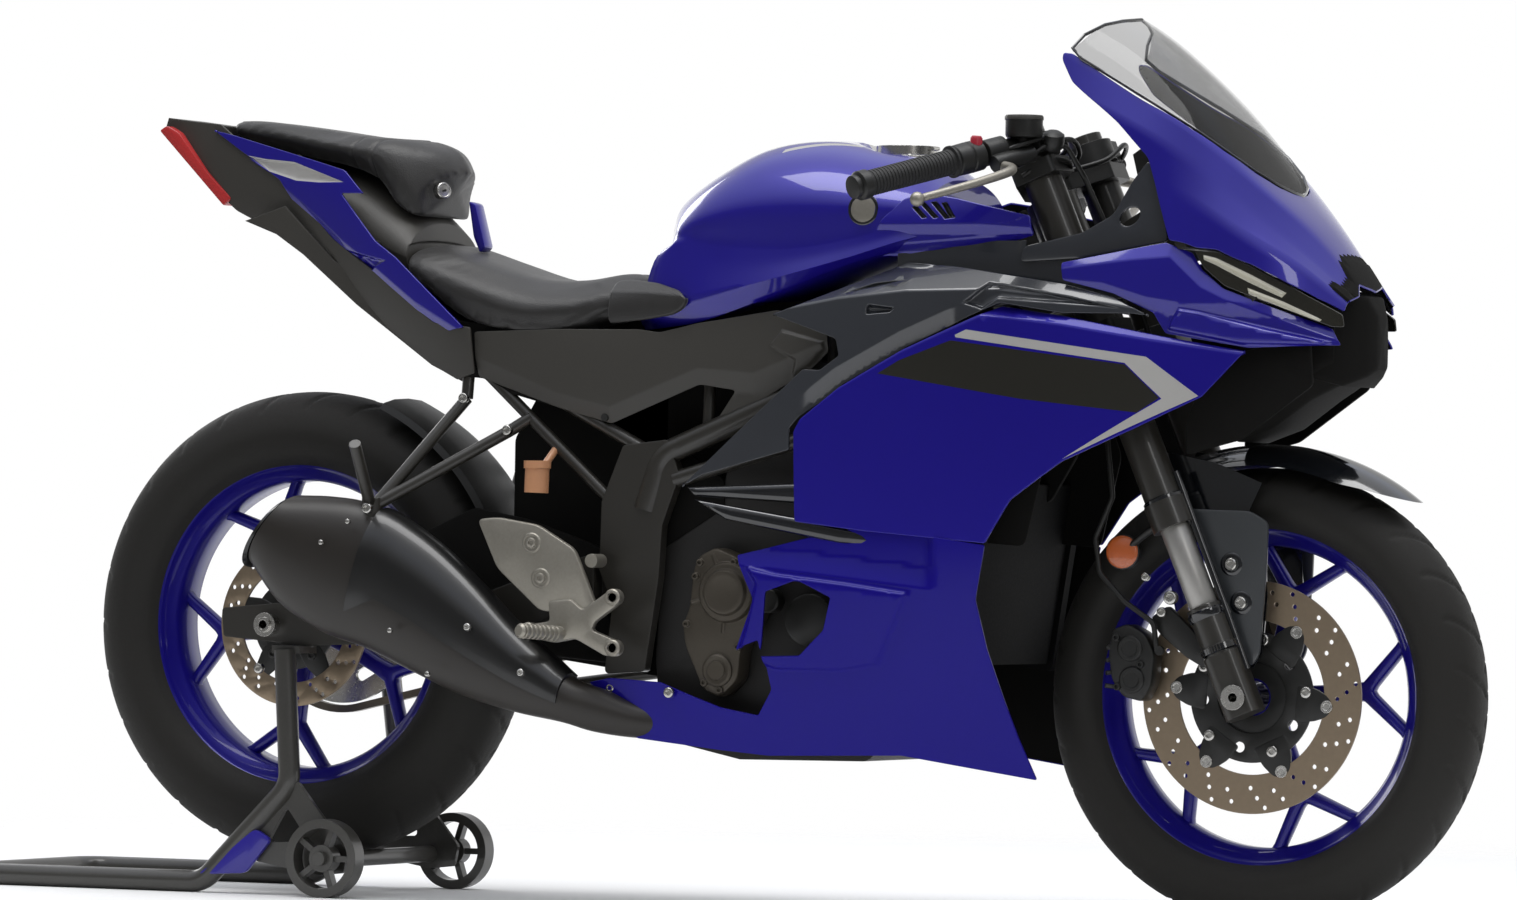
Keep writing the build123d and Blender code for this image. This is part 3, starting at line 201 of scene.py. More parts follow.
def shader(name, colour, roughness, metallic=0.0, coat=0.0, specular=0.5, vary=(300, 0.12), grain=None,
           bevel=0.0, sheen=0.0, alpha=1.0, stripes=()):
    """A procedural finish. vary is the scale and amount of colour and gloss variation; grain is (kind, scale,
    strength); bevel rounds the edges of a carried-over CAD node."""
    made = bpy.data.materials.new(name)
    made.use_nodes = True
    tree = made.node_tree
    surface = tree.nodes["Principled BSDF"].inputs
    for socket, level in (("Metallic", metallic), ("Specular IOR Level", specular), ("Coat Weight", coat),
                          ("Coat Roughness", 0.04), ("Sheen Weight", sheen), ("Alpha", alpha)):
        surface[socket].default_value = level
    place = new_node(tree, "TexCoord").outputs["Object"]
    cloud = new_node(tree, "TexNoise", {"Vector": place, "Scale": vary[0], "Detail": 4}).outputs["Fac"]
    darker = [level * (1 - vary[1]) for level in colour]
    paler = [min(1, level * (1 + vary[1])) for level in colour]
    finish = new_node(tree, "MixRGB", {"Fac": cloud, "Color1": (*darker, 1),
                                       "Color2": (*paler, 1)}).outputs["Color"]
    if stripes:
        finish = striped(tree, place, finish, stripes)
    tree.links.new(finish, surface["Base Color"])
    gloss = new_node(tree, "MapRange", {"Value": cloud, "To Min": max(0.02, roughness * 0.85),
                                        "To Max": min(1, roughness * 1.15)})
    tree.links.new(gloss.outputs["Result"], surface["Roughness"])
    normal = new_node(tree, "Bevel", {"Radius": bevel * MM}, samples=4).outputs["Normal"] if bevel else None
    if grain:
        leather = grain[0] == "leather"
        texture = new_node(tree, "TexVoronoi" if leather else "TexNoise",
                           {"Scale": grain[1], "Vector": place})
        height = texture.outputs["Distance" if leather else "Fac"]
        bump = new_node(tree, "Bump", {"Strength": grain[2], "Distance": 0.0006, "Height": height})
        if normal:
            tree.links.new(normal, bump.inputs["Normal"])
        normal = bump.outputs["Normal"]
    if normal:
        tree.links.new(normal, surface["Normal"])
    return made


light_hall()
lay_floor()
aim_camera()

PAINT = dict(metallic=0.2, coat=1.0, specular=0.2, vary=(2600, 0.10))
PAINT_TINT = (0.013, 0.007, 0.28)
PALE = (0.47, 0.46, 0.44)
ABOVE = ((0, 0, -1), -940)             # the tank stripes' lower end
TANK_STRIPES = [
    (PALE, [((-1, 0, 0), -80), ((1, 0, 0), 300), ((0.25, 1, 0), 84), ((-0.25, -1, 0), -64), ABOVE]),
    (PALE, [((-1, 0, 0), -110), ((1, 0, 0), 210), ((0.32, 1, 0), 122), ((-0.32, -1, 0), -111), ABOVE])]
BLUE = shader("blue_paint", PAINT_TINT, 0.32, **PAINT)
TANK_BLUE = shader("tank_paint", PAINT_TINT, 0.32, stripes=TANK_STRIPES, **PAINT)
# A darker copy of the blue paint with half its coat: painted shade on the side fairings.
SHADED_SIDE_BLUE = shader("blue_paint_shaded_side", (0.013, 0.007, 0.27), 0.34, **{**PAINT, "coat": 0.5, "specular": 0.1})
# A darker copy of the blue paint with little coat and gloss: painted shade on the lower fairings, which also
# hides their reflection of the floor.
SHADED_LOW_BLUE = shader("blue_paint_shaded_low", (0.010, 0.005, 0.24), 0.36, metallic=0.1, coat=0.25, specular=0.05,
                  vary=PAINT["vary"])
BLUE_RIM = shader("blue_wheel_paint", (0.010, 0.006, 0.22), 0.36, **{**PAINT, "coat": 0.5})
SCOOP_GLOSS = shader("scoop_gloss", (0.030, 0.033, 0.040), 0.24, coat=0.8, vary=(900, 0.1))
PLATE_GLOSS = shader("fender_plate_paint", (0.050, 0.054, 0.058), 0.3, coat=0.6, vary=(500, 0.08))
BLACK_DULL = shader("dull_black", (0.0065, 0.0062, 0.0055), 0.8, specular=0.15, vary=(400, 0.1))
BLACK_GLOSS = shader("gloss_black", (0.006, 0.007, 0.009), 0.14, coat=1.0, vary=(900, 0.15))
PALE_BAND = shader("pale_band", PALE, 0.3, coat=1.0, vary=(700, 0.03))
DARK_BAND = shader("dark_band", (0.012, 0.011, 0.007), 0.3, coat=0.8, vary=(700, 0.1))
COVER = dict(colour=(0.046, 0.043, 0.037), roughness=0.46, vary=(500, 0.12), grain=("noise", 1600, 0.25))
GREY_COVER = shader("grey_cover", **COVER)
GREY_PART = shader("grey_cover_part", bevel=3.0, **COVER)
PLASTIC = dict(colour=(0.009, 0.009, 0.008), roughness=0.42, vary=(500, 0.15))
BLACK_PLASTIC = shader("black_plastic", grain=("noise", 1800, 0.25), **PLASTIC)
BLACK_PART = shader("black_plastic_part", grain=("noise", 1800, 0.2), bevel=1.5, **PLASTIC)
FRAME_PAINT = shader("frame_paint", (0.024, 0.022, 0.018), 0.38, coat=0.3, grain=("noise", 900, 0.15),
                     bevel=2.5)
ENGINE_CAST = shader("engine_cast", (0.012, 0.011, 0.010), 0.5, grain=("noise", 700, 0.4), bevel=2.5)
COVER_CAST = shader("cover_cast", (0.070, 0.060, 0.046), 0.44, metallic=0.5, grain=("noise", 900, 0.3),
                    bevel=2.0)
CORE = shader("radiator_core", (0.006, 0.006, 0.006), 0.8, specular=0.15, bevel=1.0)
EXHAUST = shader("exhaust_black", (0.018, 0.015, 0.012), 0.42, grain=("noise", 1200, 0.12))
EXHAUST_DARK = shader("exhaust_shield", (0.008, 0.008, 0.008), 0.3, coat=0.4, grain=("noise", 1200, 0.08))
EXHAUST_PART = shader("exhaust_pipe", (0.04, 0.030, 0.024), 0.4, metallic=0.7, bevel=1.0)
VINYL = shader("seat_vinyl", (0.022, 0.021, 0.020), 0.44, vary=(120, 0.12), grain=("leather", 520, 0.3),
               sheen=0.1)
RUBBER = shader("tyre_rubber", (0.013, 0.012, 0.010), 0.66, specular=0.35, vary=(220, 0.16),
                grain=("noise", 1400, 0.3))
GRIP = shader("grip_rubber", (0.012, 0.012, 0.012), 0.6, vary=(400, 0.15), grain=("leather", 700, 0.5))
DISC = shader("disc_steel", (0.30, 0.235, 0.165), 0.38, metallic=0.8, vary=(160, 0.08),
              grain=("noise", 1500, 0.1))
STEEL = shader("bright_steel", (0.58, 0.57, 0.54), 0.26, metallic=1.0, vary=(260, 0.08), bevel=0.8)
SATIN = shader("satin_tube", (0.42, 0.41, 0.39), 0.42, metallic=0.7, vary=(260, 0.05))
ALUMINIUM = shader("cast_aluminium", (0.34, 0.32, 0.275), 0.42, metallic=0.75, grain=("noise", 1300, 0.2),
                   bevel=1.5)
CHAIN_STEEL = shader("chain_steel", (0.16, 0.14, 0.11), 0.38, metallic=0.9, bevel=0.5)
SMOKE = shader("screen_smoke", (0.045, 0.045, 0.043), 0.06, specular=0.4, vary=(40, 0.02), alpha=0.30)
LENS = shader("lamp_lens", (0.016, 0.015, 0.010), 0.08, coat=1.0, vary=(60, 0.2))
LAMP_STRIP = shader("lamp_strip", (0.55, 0.53, 0.42), 0.2, coat=0.6, vary=(500, 0.05))
RED_LENS = shader("red_lens", (0.50, 0.03, 0.03), 0.12, coat=1.0, vary=(800, 0.2))
RED_SWITCH = shader("red_switch", (0.42, 0.02, 0.04), 0.35, vary=(600, 0.08))
AMBER = shader("amber_reflector", (0.56, 0.12, 0.025), 0.2, coat=1.0, vary=(1500, 0.2),
               grain=("leather", 900, 0.4))
FLUID = shader("fluid_pot", (0.55, 0.27, 0.14), 0.3, vary=(200, 0.05))
STAND = shader("stand_paint", (0.050, 0.048, 0.043), 0.36, coat=0.4, vary=(300, 0.15),
               grain=("noise", 900, 0.12), bevel=1.5)
STAND_BLUE = shader("stand_blue", (0.020, 0.012, 0.30), 0.35, coat=0.5, vary=(500, 0.05))

# Flat outlines


def rounded(points, radius, closed=True):
    """The outline with each corner cut back by radius and rounded."""
    pts = [np.array(p, float) for p in points]
    out = []
    for i, corner in enumerate(pts):
        if not closed and i in (0, len(pts) - 1):
            out.append(corner)
            continue
        before, after = pts[i - 1], pts[(i + 1) % len(pts)]
        run_in, run_out = np.linalg.norm(before - corner), np.linalg.norm(after - corner)
        cut = min(radius, run_in * 0.45, run_out * 0.45)
        start = corner + (before - corner) / run_in * cut
        end = corner + (after - corner) / run_out * cut
        for t in (0, 0.25, 0.5, 0.75, 1):
            out.append(start * (1 - t) ** 2 + corner * 2 * t * (1 - t) + end * t * t)
    return out


def divided(points, step, closed=True):
    """The same line with no run longer than step."""
    pts = [np.array(p, float) for p in points]
    out = []
    for i in range(len(pts) if closed else len(pts) - 1):
        a, b = pts[i], pts[(i + 1) % len(pts)]
        count = max(1, int(np.ceil(np.linalg.norm(b - a) / step)))
        out += [a + (b - a) * k / count for k in range(count)]
    if not closed:
        out.append(pts[-1])
    return out


def area_of(points):
    x, y = np.array(points)[:, 0], np.array(points)[:, 1]
    return 0.5 * float(np.sum(x * np.roll(y, -1) - np.roll(x, -1) * y))


def inset(points, distance):
    """The outline moved inward; a negative distance moves it outward."""
    pts = np.array(points, float)
    turn = np.sign(area_of(points))
    before, after = pts - np.roll(pts, 1, 0), np.roll(pts, -1, 0) - pts
    normal = []
    for run in (before, after):
        length = np.maximum(np.linalg.norm(run, axis=1, keepdims=True), 1e-9)
        normal.append(np.stack([-run[:, 1], run[:, 0]], 1) / length * turn)
    middle = normal[0] + normal[1]
    size = np.maximum(np.sum(middle * middle, 1, keepdims=True), 0.6)
    return list(pts + middle * 2 / size * distance)


def inside(points, x, y):
    """Which of the places (x, y) lie inside the closed outline."""
    found = np.zeros(len(x), bool)
    pts = np.array(points, float)
    for (ax, ay), (bx, by) in zip(pts, np.roll(pts, -1, 0)):
        if ay == by:
            continue
        crosses = (ay > y) != (by > y)
        found ^= crosses & (x < (bx - ax) * (y - ay) / (by - ay) + ax)
    return found


def distance(points, x, y, closed=True):
    """Distance of the places (x, y) from a line."""
    pts = np.array(points, float)
    ends = np.roll(pts, -1, 0) if closed else pts[1:]
    best = np.full(len(x), 1e9)
    for (ax, ay), (bx, by) in zip(pts, ends):
        run = max((bx - ax) ** 2 + (by - ay) ** 2, 1e-9)
        t = np.clip(((x - ax) * (bx - ax) + (y - ay) * (by - ay)) / run, 0, 1)
        best = np.minimum(best, np.hypot(x - ax - t * (bx - ax), y - ay - t * (by - ay)))
    return best


def smooth(t):
    t = np.clip(t, 0, 1)
    return t * t * (3 - 2 * t)


def fill(outline, holes=(), zones=(), lines=(), step=9.0, loops=()):
    """Triangles of a flat outline with points on a grid inside. Gives the points, the triangles and each
    triangle's zone number, which is 0 outside every zone."""
    rings = [list(outline)] + [list(h) for h in holes] + [divided(z, step) for z in zones]
    rings += [divided(loop, step * 0.7) for loop in loops]
    points, edges = [], []
    for ring in rings:
        first = len(points)
        points += ring
        edges += [(first + i, first + (i + 1) % len(ring)) for i in range(len(ring))]
    for line in lines:
        first = len(points)
        line = divided(line, step, closed=False)
        points += line
        edges += [(first + i, first + i + 1) for i in range(len(line) - 1)]
    fixed = np.array(points)
    low, high = fixed.min(0), fixed.max(0)
    rows = np.arange(low[1] + step / 2, high[1], step * 0.87)
    grid = [(x, y) for k, y in enumerate(rows) for x in np.arange(low[0] + step * (0.5 + 0.5 * (k % 2)),
                                                                  high[0], step)]
    if grid:
        grid = np.array(grid)
        keep = inside(outline, grid[:, 0], grid[:, 1]) & (distance(outline, grid[:, 0],
                                                                   grid[:, 1]) > step * 0.4)
        for hole in holes:
            keep &= ~inside(hole, grid[:, 0], grid[:, 1]) & (distance(hole, grid[:, 0],
                                                                      grid[:, 1]) > step * 0.4)
        for loop in [*zones, *loops]:
            keep &= distance(loop, grid[:, 0], grid[:, 1]) > step * 0.35
        for line in lines:
            keep &= distance(line, grid[:, 0], grid[:, 1], closed=False) > step * 0.35
        points += list(grid[keep])
    verts, _, faces, *_ = delaunay_2d_cdt([Vector((float(p[0]), float(p[1]))) for p in points], edges, [],
                                          0, 1e-5)
    flat = np.array([(v.x, v.y) for v in verts])
    tris = np.array([f for f in faces if len(f) == 3])
    centre = flat[tris].mean(1)
    keep = inside(outline, centre[:, 0], centre[:, 1])
    for hole in holes:
        keep &= ~inside(hole, centre[:, 0], centre[:, 1])
    a, b, c = flat[tris[:, 0]], flat[tris[:, 1]], flat[tris[:, 2]]
    size = (b[:, 0] - a[:, 0]) * (c[:, 1] - a[:, 1]) - (b[:, 1] - a[:, 1]) * (c[:, 0] - a[:, 0])
    keep &= np.abs(size) > 1e-6
    tris[size < 0] = tris[size < 0][:, ::-1]
    tris, centre = tris[keep], centre[keep]
    zone_of = np.zeros(len(tris), int)
    for k, zone in enumerate(zones):
        zone_of[inside(zone, centre[:, 0], centre[:, 1])] = k + 1
    used = np.unique(tris)
    new = np.full(len(flat), -1)
    new[used] = np.arange(len(used))
    return flat[used], new[tris], zone_of


# Meshes


def finish_piece(piece, body, mats, replaces=(), sharp=None):
    """Gives an object its materials and smooth faces, and its body and replaced nodes."""
    mesh = piece.data
    for finish in mats:
        mesh.materials.append(finish)
    mesh.polygons.foreach_set("use_smooth", [True] * len(mesh.polygons))
    if sharp:
        mesh.set_sharp_from_angle(angle=radians(sharp))
    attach(piece, body)
    if replaces:
        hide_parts(*replaces)
    return piece


def band_faces(rows, count, first=0, closed=False):
    """Four-sided faces between rows of count points each; closed joins the last row to the first."""
    pairs = [(r, (r + 1) % rows) for r in range(rows if closed else rows - 1)]
    return [(first + a * count + i, first + a * count + (i + 1) % count,
             first + b * count + (i + 1) % count, first + b * count + i)
            for a, b in pairs for i in range(count)]


def square_to(way):
    """A direction square to another one."""
    side = np.cross(way, UP if abs(way[2]) < 0.9 else (1, 0, 0))
    return side / np.linalg.norm(side)


def ring_round(centre, side, up, radius, sides):
    """Points round a centre, in the plane of two directions."""
    angles = [TURN * k / sides for k in range(sides)]
    return [centre + (side * cos(a) + up * sin(a)) * radius for a in angles]


class Shape:
    """Collects closed bodies for one piece. mat is the number of the material that the next bodies get."""

    def __init__(self):
        self.verts, self.faces, self.mats, self.mat = [], [], [], 0

    def add(self, verts, faces):
        first = len(self.verts)
        self.verts += [tuple(v) for v in verts]
        self.faces += [tuple(i + first for i in f) for f in faces]
        self.mats += [self.mat] * len(faces)

    def rings(self, rings, closed=False):
        """A skin over rings of equally many points, with caps at both ends, or closed end to end."""
        count = len(rings[0])
        verts = [p for ring in rings for p in ring]
        faces = band_faces(len(rings), count, closed=closed)
        if not closed:
            for row in (0, len(rings) - 1):
                first, hub = row * count, len(verts)
                verts.append(np.mean(rings[row], axis=0))
                faces += [(first + i, first + (i + 1) % count, hub) for i in range(count)]
        self.add(verts, faces)

    def lathe(self, profile, base, axis=LEFT, sides=48, closed=False):
        """A turned body. profile is (distance along the axis from base, radius)."""
        axis = np.array(axis, float) / np.linalg.norm(axis)
        side = square_to(axis)
        up = np.cross(axis, side)
        self.rings([ring_round(base + axis * d, side, up, r, sides) for d, r in profile], closed)

    def tube(self, points, radius, sides=16, smooth_by=4):
        """A round bar along a smooth line through the points; radius may be a list."""
        line = curve(points, smooth_by)
        parts = np.linspace(0, 1, len(line))
        radii = np.interp(parts, np.linspace(0, 1, np.size(radius)), np.atleast_1d(radius))
        along = np.gradient(line, axis=0)
        along /= np.linalg.norm(along, axis=1, keepdims=True)
        side, rings = square_to(along[0]), []
        for point, way, r in zip(line, along, radii):
            side = side - way * np.dot(side, way)
            side /= np.linalg.norm(side)
            rings.append(ring_round(point, side, np.cross(way, side), r, sides))
        self.rings(rings)

    def plate(self, outline, y_low, y_high, corner=0, edge=0.8, holes=(), place=None):
        """A flat plate with softened edges, drawn in side view; place moves (x, y, z) points afterwards."""
        ring = rounded(outline, corner) if corner else [np.array(p, float) for p in outline]
        holes = [[np.array(p, float) for p in hole] for hole in holes]
        flat, tris, _ = fill(ring, holes, step=1e6)
        verts, faces, spots, ends = [], [], [], []
        for points, cut in [(ring, edge)] + [(hole, -edge) for hole in holes]:
            first, count = len(verts), len(points)
            tight, soft = inset(points, cut), inset(points, cut * 0.3)
            layers = [(tight, y_low), (soft, y_low + edge * 0.3), (points, y_low + edge),
                      (points, y_high - edge), (soft, y_high - edge * 0.3), (tight, y_high)]
            verts += [(p[0], y, p[1]) for layer, y in layers for p in layer]
            faces += band_faces(len(layers), count, first)
            spots += points
            ends += [(first + i, first + (len(layers) - 1) * count + i) for i in range(count)]
        near = [int(np.argmin(np.sum((np.array(spots) - p) ** 2, 1))) for p in flat]
        for tri in tris:
            corners = [ends[near[i]] for i in tri]
            if len(set(corners)) == 3:
                low, high = zip(*corners)
                faces += [low, high[::-1]]
        self.add([place(*v) for v in verts] if place else verts, faces)

    def bolt(self, centre, out, radius=6, height=4, socket=True):
        """A bolt head; out is the way it faces."""
        head = [(-1, radius), (0, radius), (height * 0.7, radius), (height * 0.92, radius * 0.92),
                (height, radius * 0.8)]
        if socket:
            head += [(height, radius * 0.5), (height * 0.45, radius * 0.48), (height * 0.45, TIP)]
        else:
            head.append((height, TIP))
        self.lathe(head, centre, out, sides=20)

    def mirror(self):
        """Adds the same bodies on the other side of the bike."""
        count = len(self.verts)
        self.verts += [(x, -y, z) for x, y, z in self.verts]
        self.faces += [tuple(i + count for i in reversed(f)) for f in self.faces]
        self.mats *= 2

    def mesh(self, name):
        """All bodies as a mesh in metres, with double points joined and faces turned outward."""
        made = bpy.data.meshes.new(name)
        made.from_pydata([(x * MM, y * MM, z * MM) for x, y, z in self.verts], [], self.faces)
        made.polygons.foreach_set("material_index", self.mats)
        work = bmesh.new()
        work.from_mesh(made)
        bmesh.ops.remove_doubles(work, verts=work.verts, dist=1e-6)
        bmesh.ops.recalc_face_normals(work, faces=work.faces)
        work.to_mesh(made)
        work.free()
        return made

    def piece(self, name, body, mats, slot, replaces=(), sharp=38):
        return finish_piece(placed(name, self.mesh(name)), body, mats, replaces, sharp)
def curve(points, each=4):
    """A smooth line through points, each run split in that many parts."""
    pts = np.array(points, float)
    if len(pts) < 3 or each < 2:
        return np.array(divided(pts, np.linalg.norm(pts[-1] - pts[0]) / 2 + 1e-6, closed=False))
    ends = np.vstack([2 * pts[0] - pts[1], pts, 2 * pts[-1] - pts[-2]])
    out = []
    for a, b, c, d in zip(ends, ends[1:], ends[2:], ends[3:]):
        for t in np.arange(each) / each:
            out.append(0.5 * (2 * b + (c - a) * t + (2 * a - 5 * b + 4 * c - d) * t * t
                              + (3 * b - a - 3 * c + d) * t ** 3))
    out.append(pts[-1])
    return np.array(out)
RIM_LAYERS = [(0.6, 0.12), (0.9, 0.45), (1.0, 1.0)]    # a rounded rim: parts of the edge, outward and deep


def panel(name, surface, outline, mats, replaces=(), holes=(), zones=(), corner=3, step=9.0, thick=2.6,
          edge=1.0, both=True, core=None):
    """A moulded panel: surface(a, b) gives points in space, and outline is drawn in (a, b). The rim is
    rounded, and a painted panel is dull black inside. core(points) gives a point inside the bike for each,
    so that outward is known."""
    painted = mats[0] in (BLUE, SHADED_SIDE_BLUE, SHADED_LOW_BLUE)
    if painted:
        mats = [*mats, BLACK_DULL]
    rim = divided(rounded(outline, corner), step)
    cuts = [divided(rounded(hole, corner), step) for hole in holes]
    flat, tris, zone_of = fill(inset(rim, edge), [inset(cut, -edge) for cut in cuts], zones,
                               getattr(surface, "lines", ()), step, getattr(surface, "loops", ()))

    def place(ab, depth):
        """Points that deep inside the surface, the outward normals and the turn that makes them so."""
        a, b = ab[:, 0], ab[:, 1]
        gap = 0.8
        point = surface(a, b)
        normal = np.cross(surface(a + gap, b) - surface(a - gap, b),
                          surface(a, b + gap) - surface(a, b - gap))
        normal /= np.maximum(np.linalg.norm(normal, axis=1, keepdims=True), 1e-12)
        middle = core(point) if core else point * (1, 0, 1)
        flip = np.sign(np.sum((point - middle) * normal, 1, keepdims=True))
        flip[flip == 0] = 1
        return point - normal * flip * depth, normal * flip, flip

    runs = dict.fromkeys((int(t[k]), int(t[(k + 1) % 3])) for t in tris for k in range(3))
    border = [(i, j) for i, j in runs if (j, i) not in runs]
    push = np.zeros((len(flat), 2))
    for i, j in border:
        run = flat[j] - flat[i]
        push[[i, j]] += np.array([run[1], -run[0]]) / max(np.linalg.norm(run), 1e-9)
    on_rim = np.unique(border)
    length = np.maximum(np.sum(push[on_rim] ** 2, 1, keepdims=True), 0.6)
    miter = push[on_rim] * 2 / length * edge
    outer, normal, flip = place(flat, 0)
    layers = [place(flat[on_rim] + miter * out, edge * deep)[0] for out, deep in RIM_LAYERS]
    layers.append(place(flat[on_rim] + miter, thick)[0])
    verts = np.vstack([outer, *layers, place(flat, thick)[0]])
    normals = np.vstack([normal, np.zeros((len(verts) - len(flat), 3))])
    back = len(verts) - len(flat)
    faces = [tuple(int(i) for i in t) for t in tris] + [tuple(int(i) + back for i in t[::-1]) for t in tris]
    kinds = list(zone_of) + [len(mats) - 1 if painted else 0] * len(tris)
    spot = {int(v): len(flat) + k for k, v in enumerate(on_rim)}
    for i, j in border:
        here, there = [[k, *(spot[k] + r * len(on_rim) for r in range(len(layers))), k + back]
                       for k in (i, j)]
        faces += zip(there, here, here[1:], there[1:])
    kinds += [0] * (len(faces) - len(kinds))
    if np.mean(flip) < 0:
        faces = [f[::-1] for f in faces]
    if both:
        faces += [tuple(i + len(verts) for i in f[::-1]) for f in faces]
        verts, normals = [np.vstack([rows, rows * RIGHT_TO_LEFT]) for rows in (verts, normals)]
        kinds *= 2
    mesh = bpy.data.meshes.new(name)
    mesh.from_pydata(verts * MM, [], faces)
    mesh.polygons.foreach_set("material_index", kinds)
    finish_piece(placed(name, mesh), "chassis", mats, replaces)
    mesh.normals_split_custom_set_from_vertices([tuple(n) for n in normals])
def table_curve(stations, x):
    """Smooth values at x from a table whose first column is x. Slopes are those of the neighbours."""
    data = np.array(stations, float)
    xs, rows = data[:, 0], data[:, 1:]
    slopes = np.gradient(rows, xs, axis=0)
    x = np.asarray(x, float)
    k = np.clip(np.searchsorted(xs, x) - 1, 0, len(xs) - 2)
    h = (xs[k + 1] - xs[k])[:, None]
    t = ((x - xs[k])[:, None] / h)
    t = np.clip(t, -0.5, 1.5)
    return (rows[k] * (2 * t ** 3 - 3 * t ** 2 + 1) + slopes[k] * h * (t ** 3 - 2 * t ** 2 + t)
            + rows[k + 1] * (3 * t ** 2 - 2 * t ** 3) + slopes[k + 1] * h * (t ** 3 - t ** 2))


class Skin:
    """A side panel's surface from stations x, (y, z) at the bottom, middle and top, as in the CAD source,
    with folds and raised parts. It keeps the lines and loops that the mesh needs along them."""

    def __init__(self, stations, lift=0.0):
        self.rows = [(x, *bottom, *middle, *top) for x, bottom, middle, top in stations]
        self.lift, self.reliefs, self.lines, self.loops = lift, [], [], []

    def fold(self, line, slope, reach=60, above=True, soft=2.5, ends=(-1e4, 1e4)):
        """The surface leans in by slope on one side of a line, as far as reach, and fades out past ends."""
        pts = np.array(line, float)
        self.lines += [pts + (0, gap) for gap in (-soft, 0, soft)]

        def relief(x, z):
            gap = z - np.interp(x, pts[:, 0], pts[:, 1])
            fade = smooth((x - ends[0]) / 30 + 1) * smooth((ends[1] - x) / 30 + 1)
            return -slope * np.clip(gap if above else -gap, 0, reach) * fade
        self.reliefs.append(relief)
        return self

    def raised(self, outline, height, width):
        """The surface rises, or sinks if height is negative, from an outline inward over a width."""
        self.loops += [inset(outline, -1.2), list(outline), inset(outline, width * 0.5),
                       inset(outline, width)]

        def relief(x, z):
            return height * smooth(distance(outline, x, z) / width) * inside(outline, x, z)
        self.reliefs.append(relief)
        return self

    def __call__(self, x, z):
        yb, zb, ym, zm, yt, zt = table_curve(self.rows, x).T
        y = (yb * (z - zm) * (z - zt) / ((zb - zm) * (zb - zt))
             + ym * (z - zb) * (z - zt) / ((zm - zb) * (zm - zt))
             + yt * (z - zb) * (z - zm) / ((zt - zb) * (zt - zm)))
        y = y + self.lift + sum(r(x, z) for r in self.reliefs)
        return np.stack([x, -y, z], 1)


# Side fairing

SIDE_STATIONS = [
    (160, (172, 470), (184, 630), (186, 810)), (320, (190, 470), (198, 630), (194, 810)),
    (480, (198, 470), (204, 630), (190, 810)), (620, (186, 470), (194, 630), (180, 810)),
    (800, (120, 470), (146, 640), (140, 810))]
SIDE_OUTLINE = [(465, 787), (551, 775), (682, 750), (787, 732), (735, 673), (649, 630), (558, 588),
                (490, 539), (454, 483), (281, 496), (177, 507), (177, 625), (186, 640), (242, 681),
                (333, 730), (402, 760)]
ARROW = [(408, 749), (423, 756), (665, 723), (731, 674), (560, 592), (686, 670), (638, 715), (409, 746)]
BAND = [(402, 742), (638, 713), (683, 671), (655, 652), (500, 668), (300, 699), (330, 716)]
SIDE_FOLD = [(400, 772), (435, 776), (551, 763), (663, 745), (787, 727)]

side_skin = Skin(SIDE_STATIONS).fold(SIDE_FOLD, 0.8, 26)
side_skin.fold([(177, 622), (186, 637), (242, 677), (333, 726), (402, 756), (440, 772)], 0.5, 8)
# Painted shade: the side fairings take the darker, half-coat copy of the blue paint.
panel("side_fairing_shells", side_skin, SIDE_OUTLINE, [SHADED_SIDE_BLUE, PALE_BAND, DARK_BAND],
      ["side_fairings"], zones=[ARROW, BAND], edge=1.6, thick=3)

# Lower fairing, with a window and a folded ridge above it

LOWER_STATIONS = [
    (-140, (140, 180), (160, 400), (176, 560)), (60, (142, 180), (168, 400), (184, 560)),
    (220, (142, 180), (178, 400), (194, 560)), (380, (142, 180), (188, 400), (204, 560)),
    (520, (140, 180), (184, 400), (200, 560))]
LOWER_OUTLINE = [(93, 463), (140, 474), (200, 488), (260, 500), (305, 500), (453, 481), (438, 411),
                 (451, 347), (470, 284), (487, 233), (507, 181), (321, 208), (131, 203), (58, 209),
                 (-58, 221), (-126, 293), (-96, 299), (-22, 295), (21, 279), (65, 264), (119, 255),
                 (140, 289), (127, 353), (90, 340), (118, 405)]
LOWER_WINDOW = [(140, 416), (187, 432), (235, 410), (223, 368), (186, 334), (130, 332)]
LOWER_PLATE = [(88, 330), (105, 372), (120, 425), (104, 452), (156, 443), (255, 433), (352, 421),
               (330, 380), (300, 322), (240, 312), (150, 312)]
lower_skin = Skin(LOWER_STATIONS).raised(LOWER_PLATE, 9, 10)
lower_skin.fold([(90, 450), (140, 447), (255, 436), (374, 424)], 0.55, 26, ends=(-1e4, 360))
# Painted shade: the lower fairings take the darker, nearly uncoated copy of the blue paint.
panel("lower_fairing_shells", lower_skin, LOWER_OUTLINE, [SHADED_LOW_BLUE], ["lower_fairings"],
      holes=[LOWER_WINDOW], step=7, thick=3)

# Scoop and its gap above the side fairing

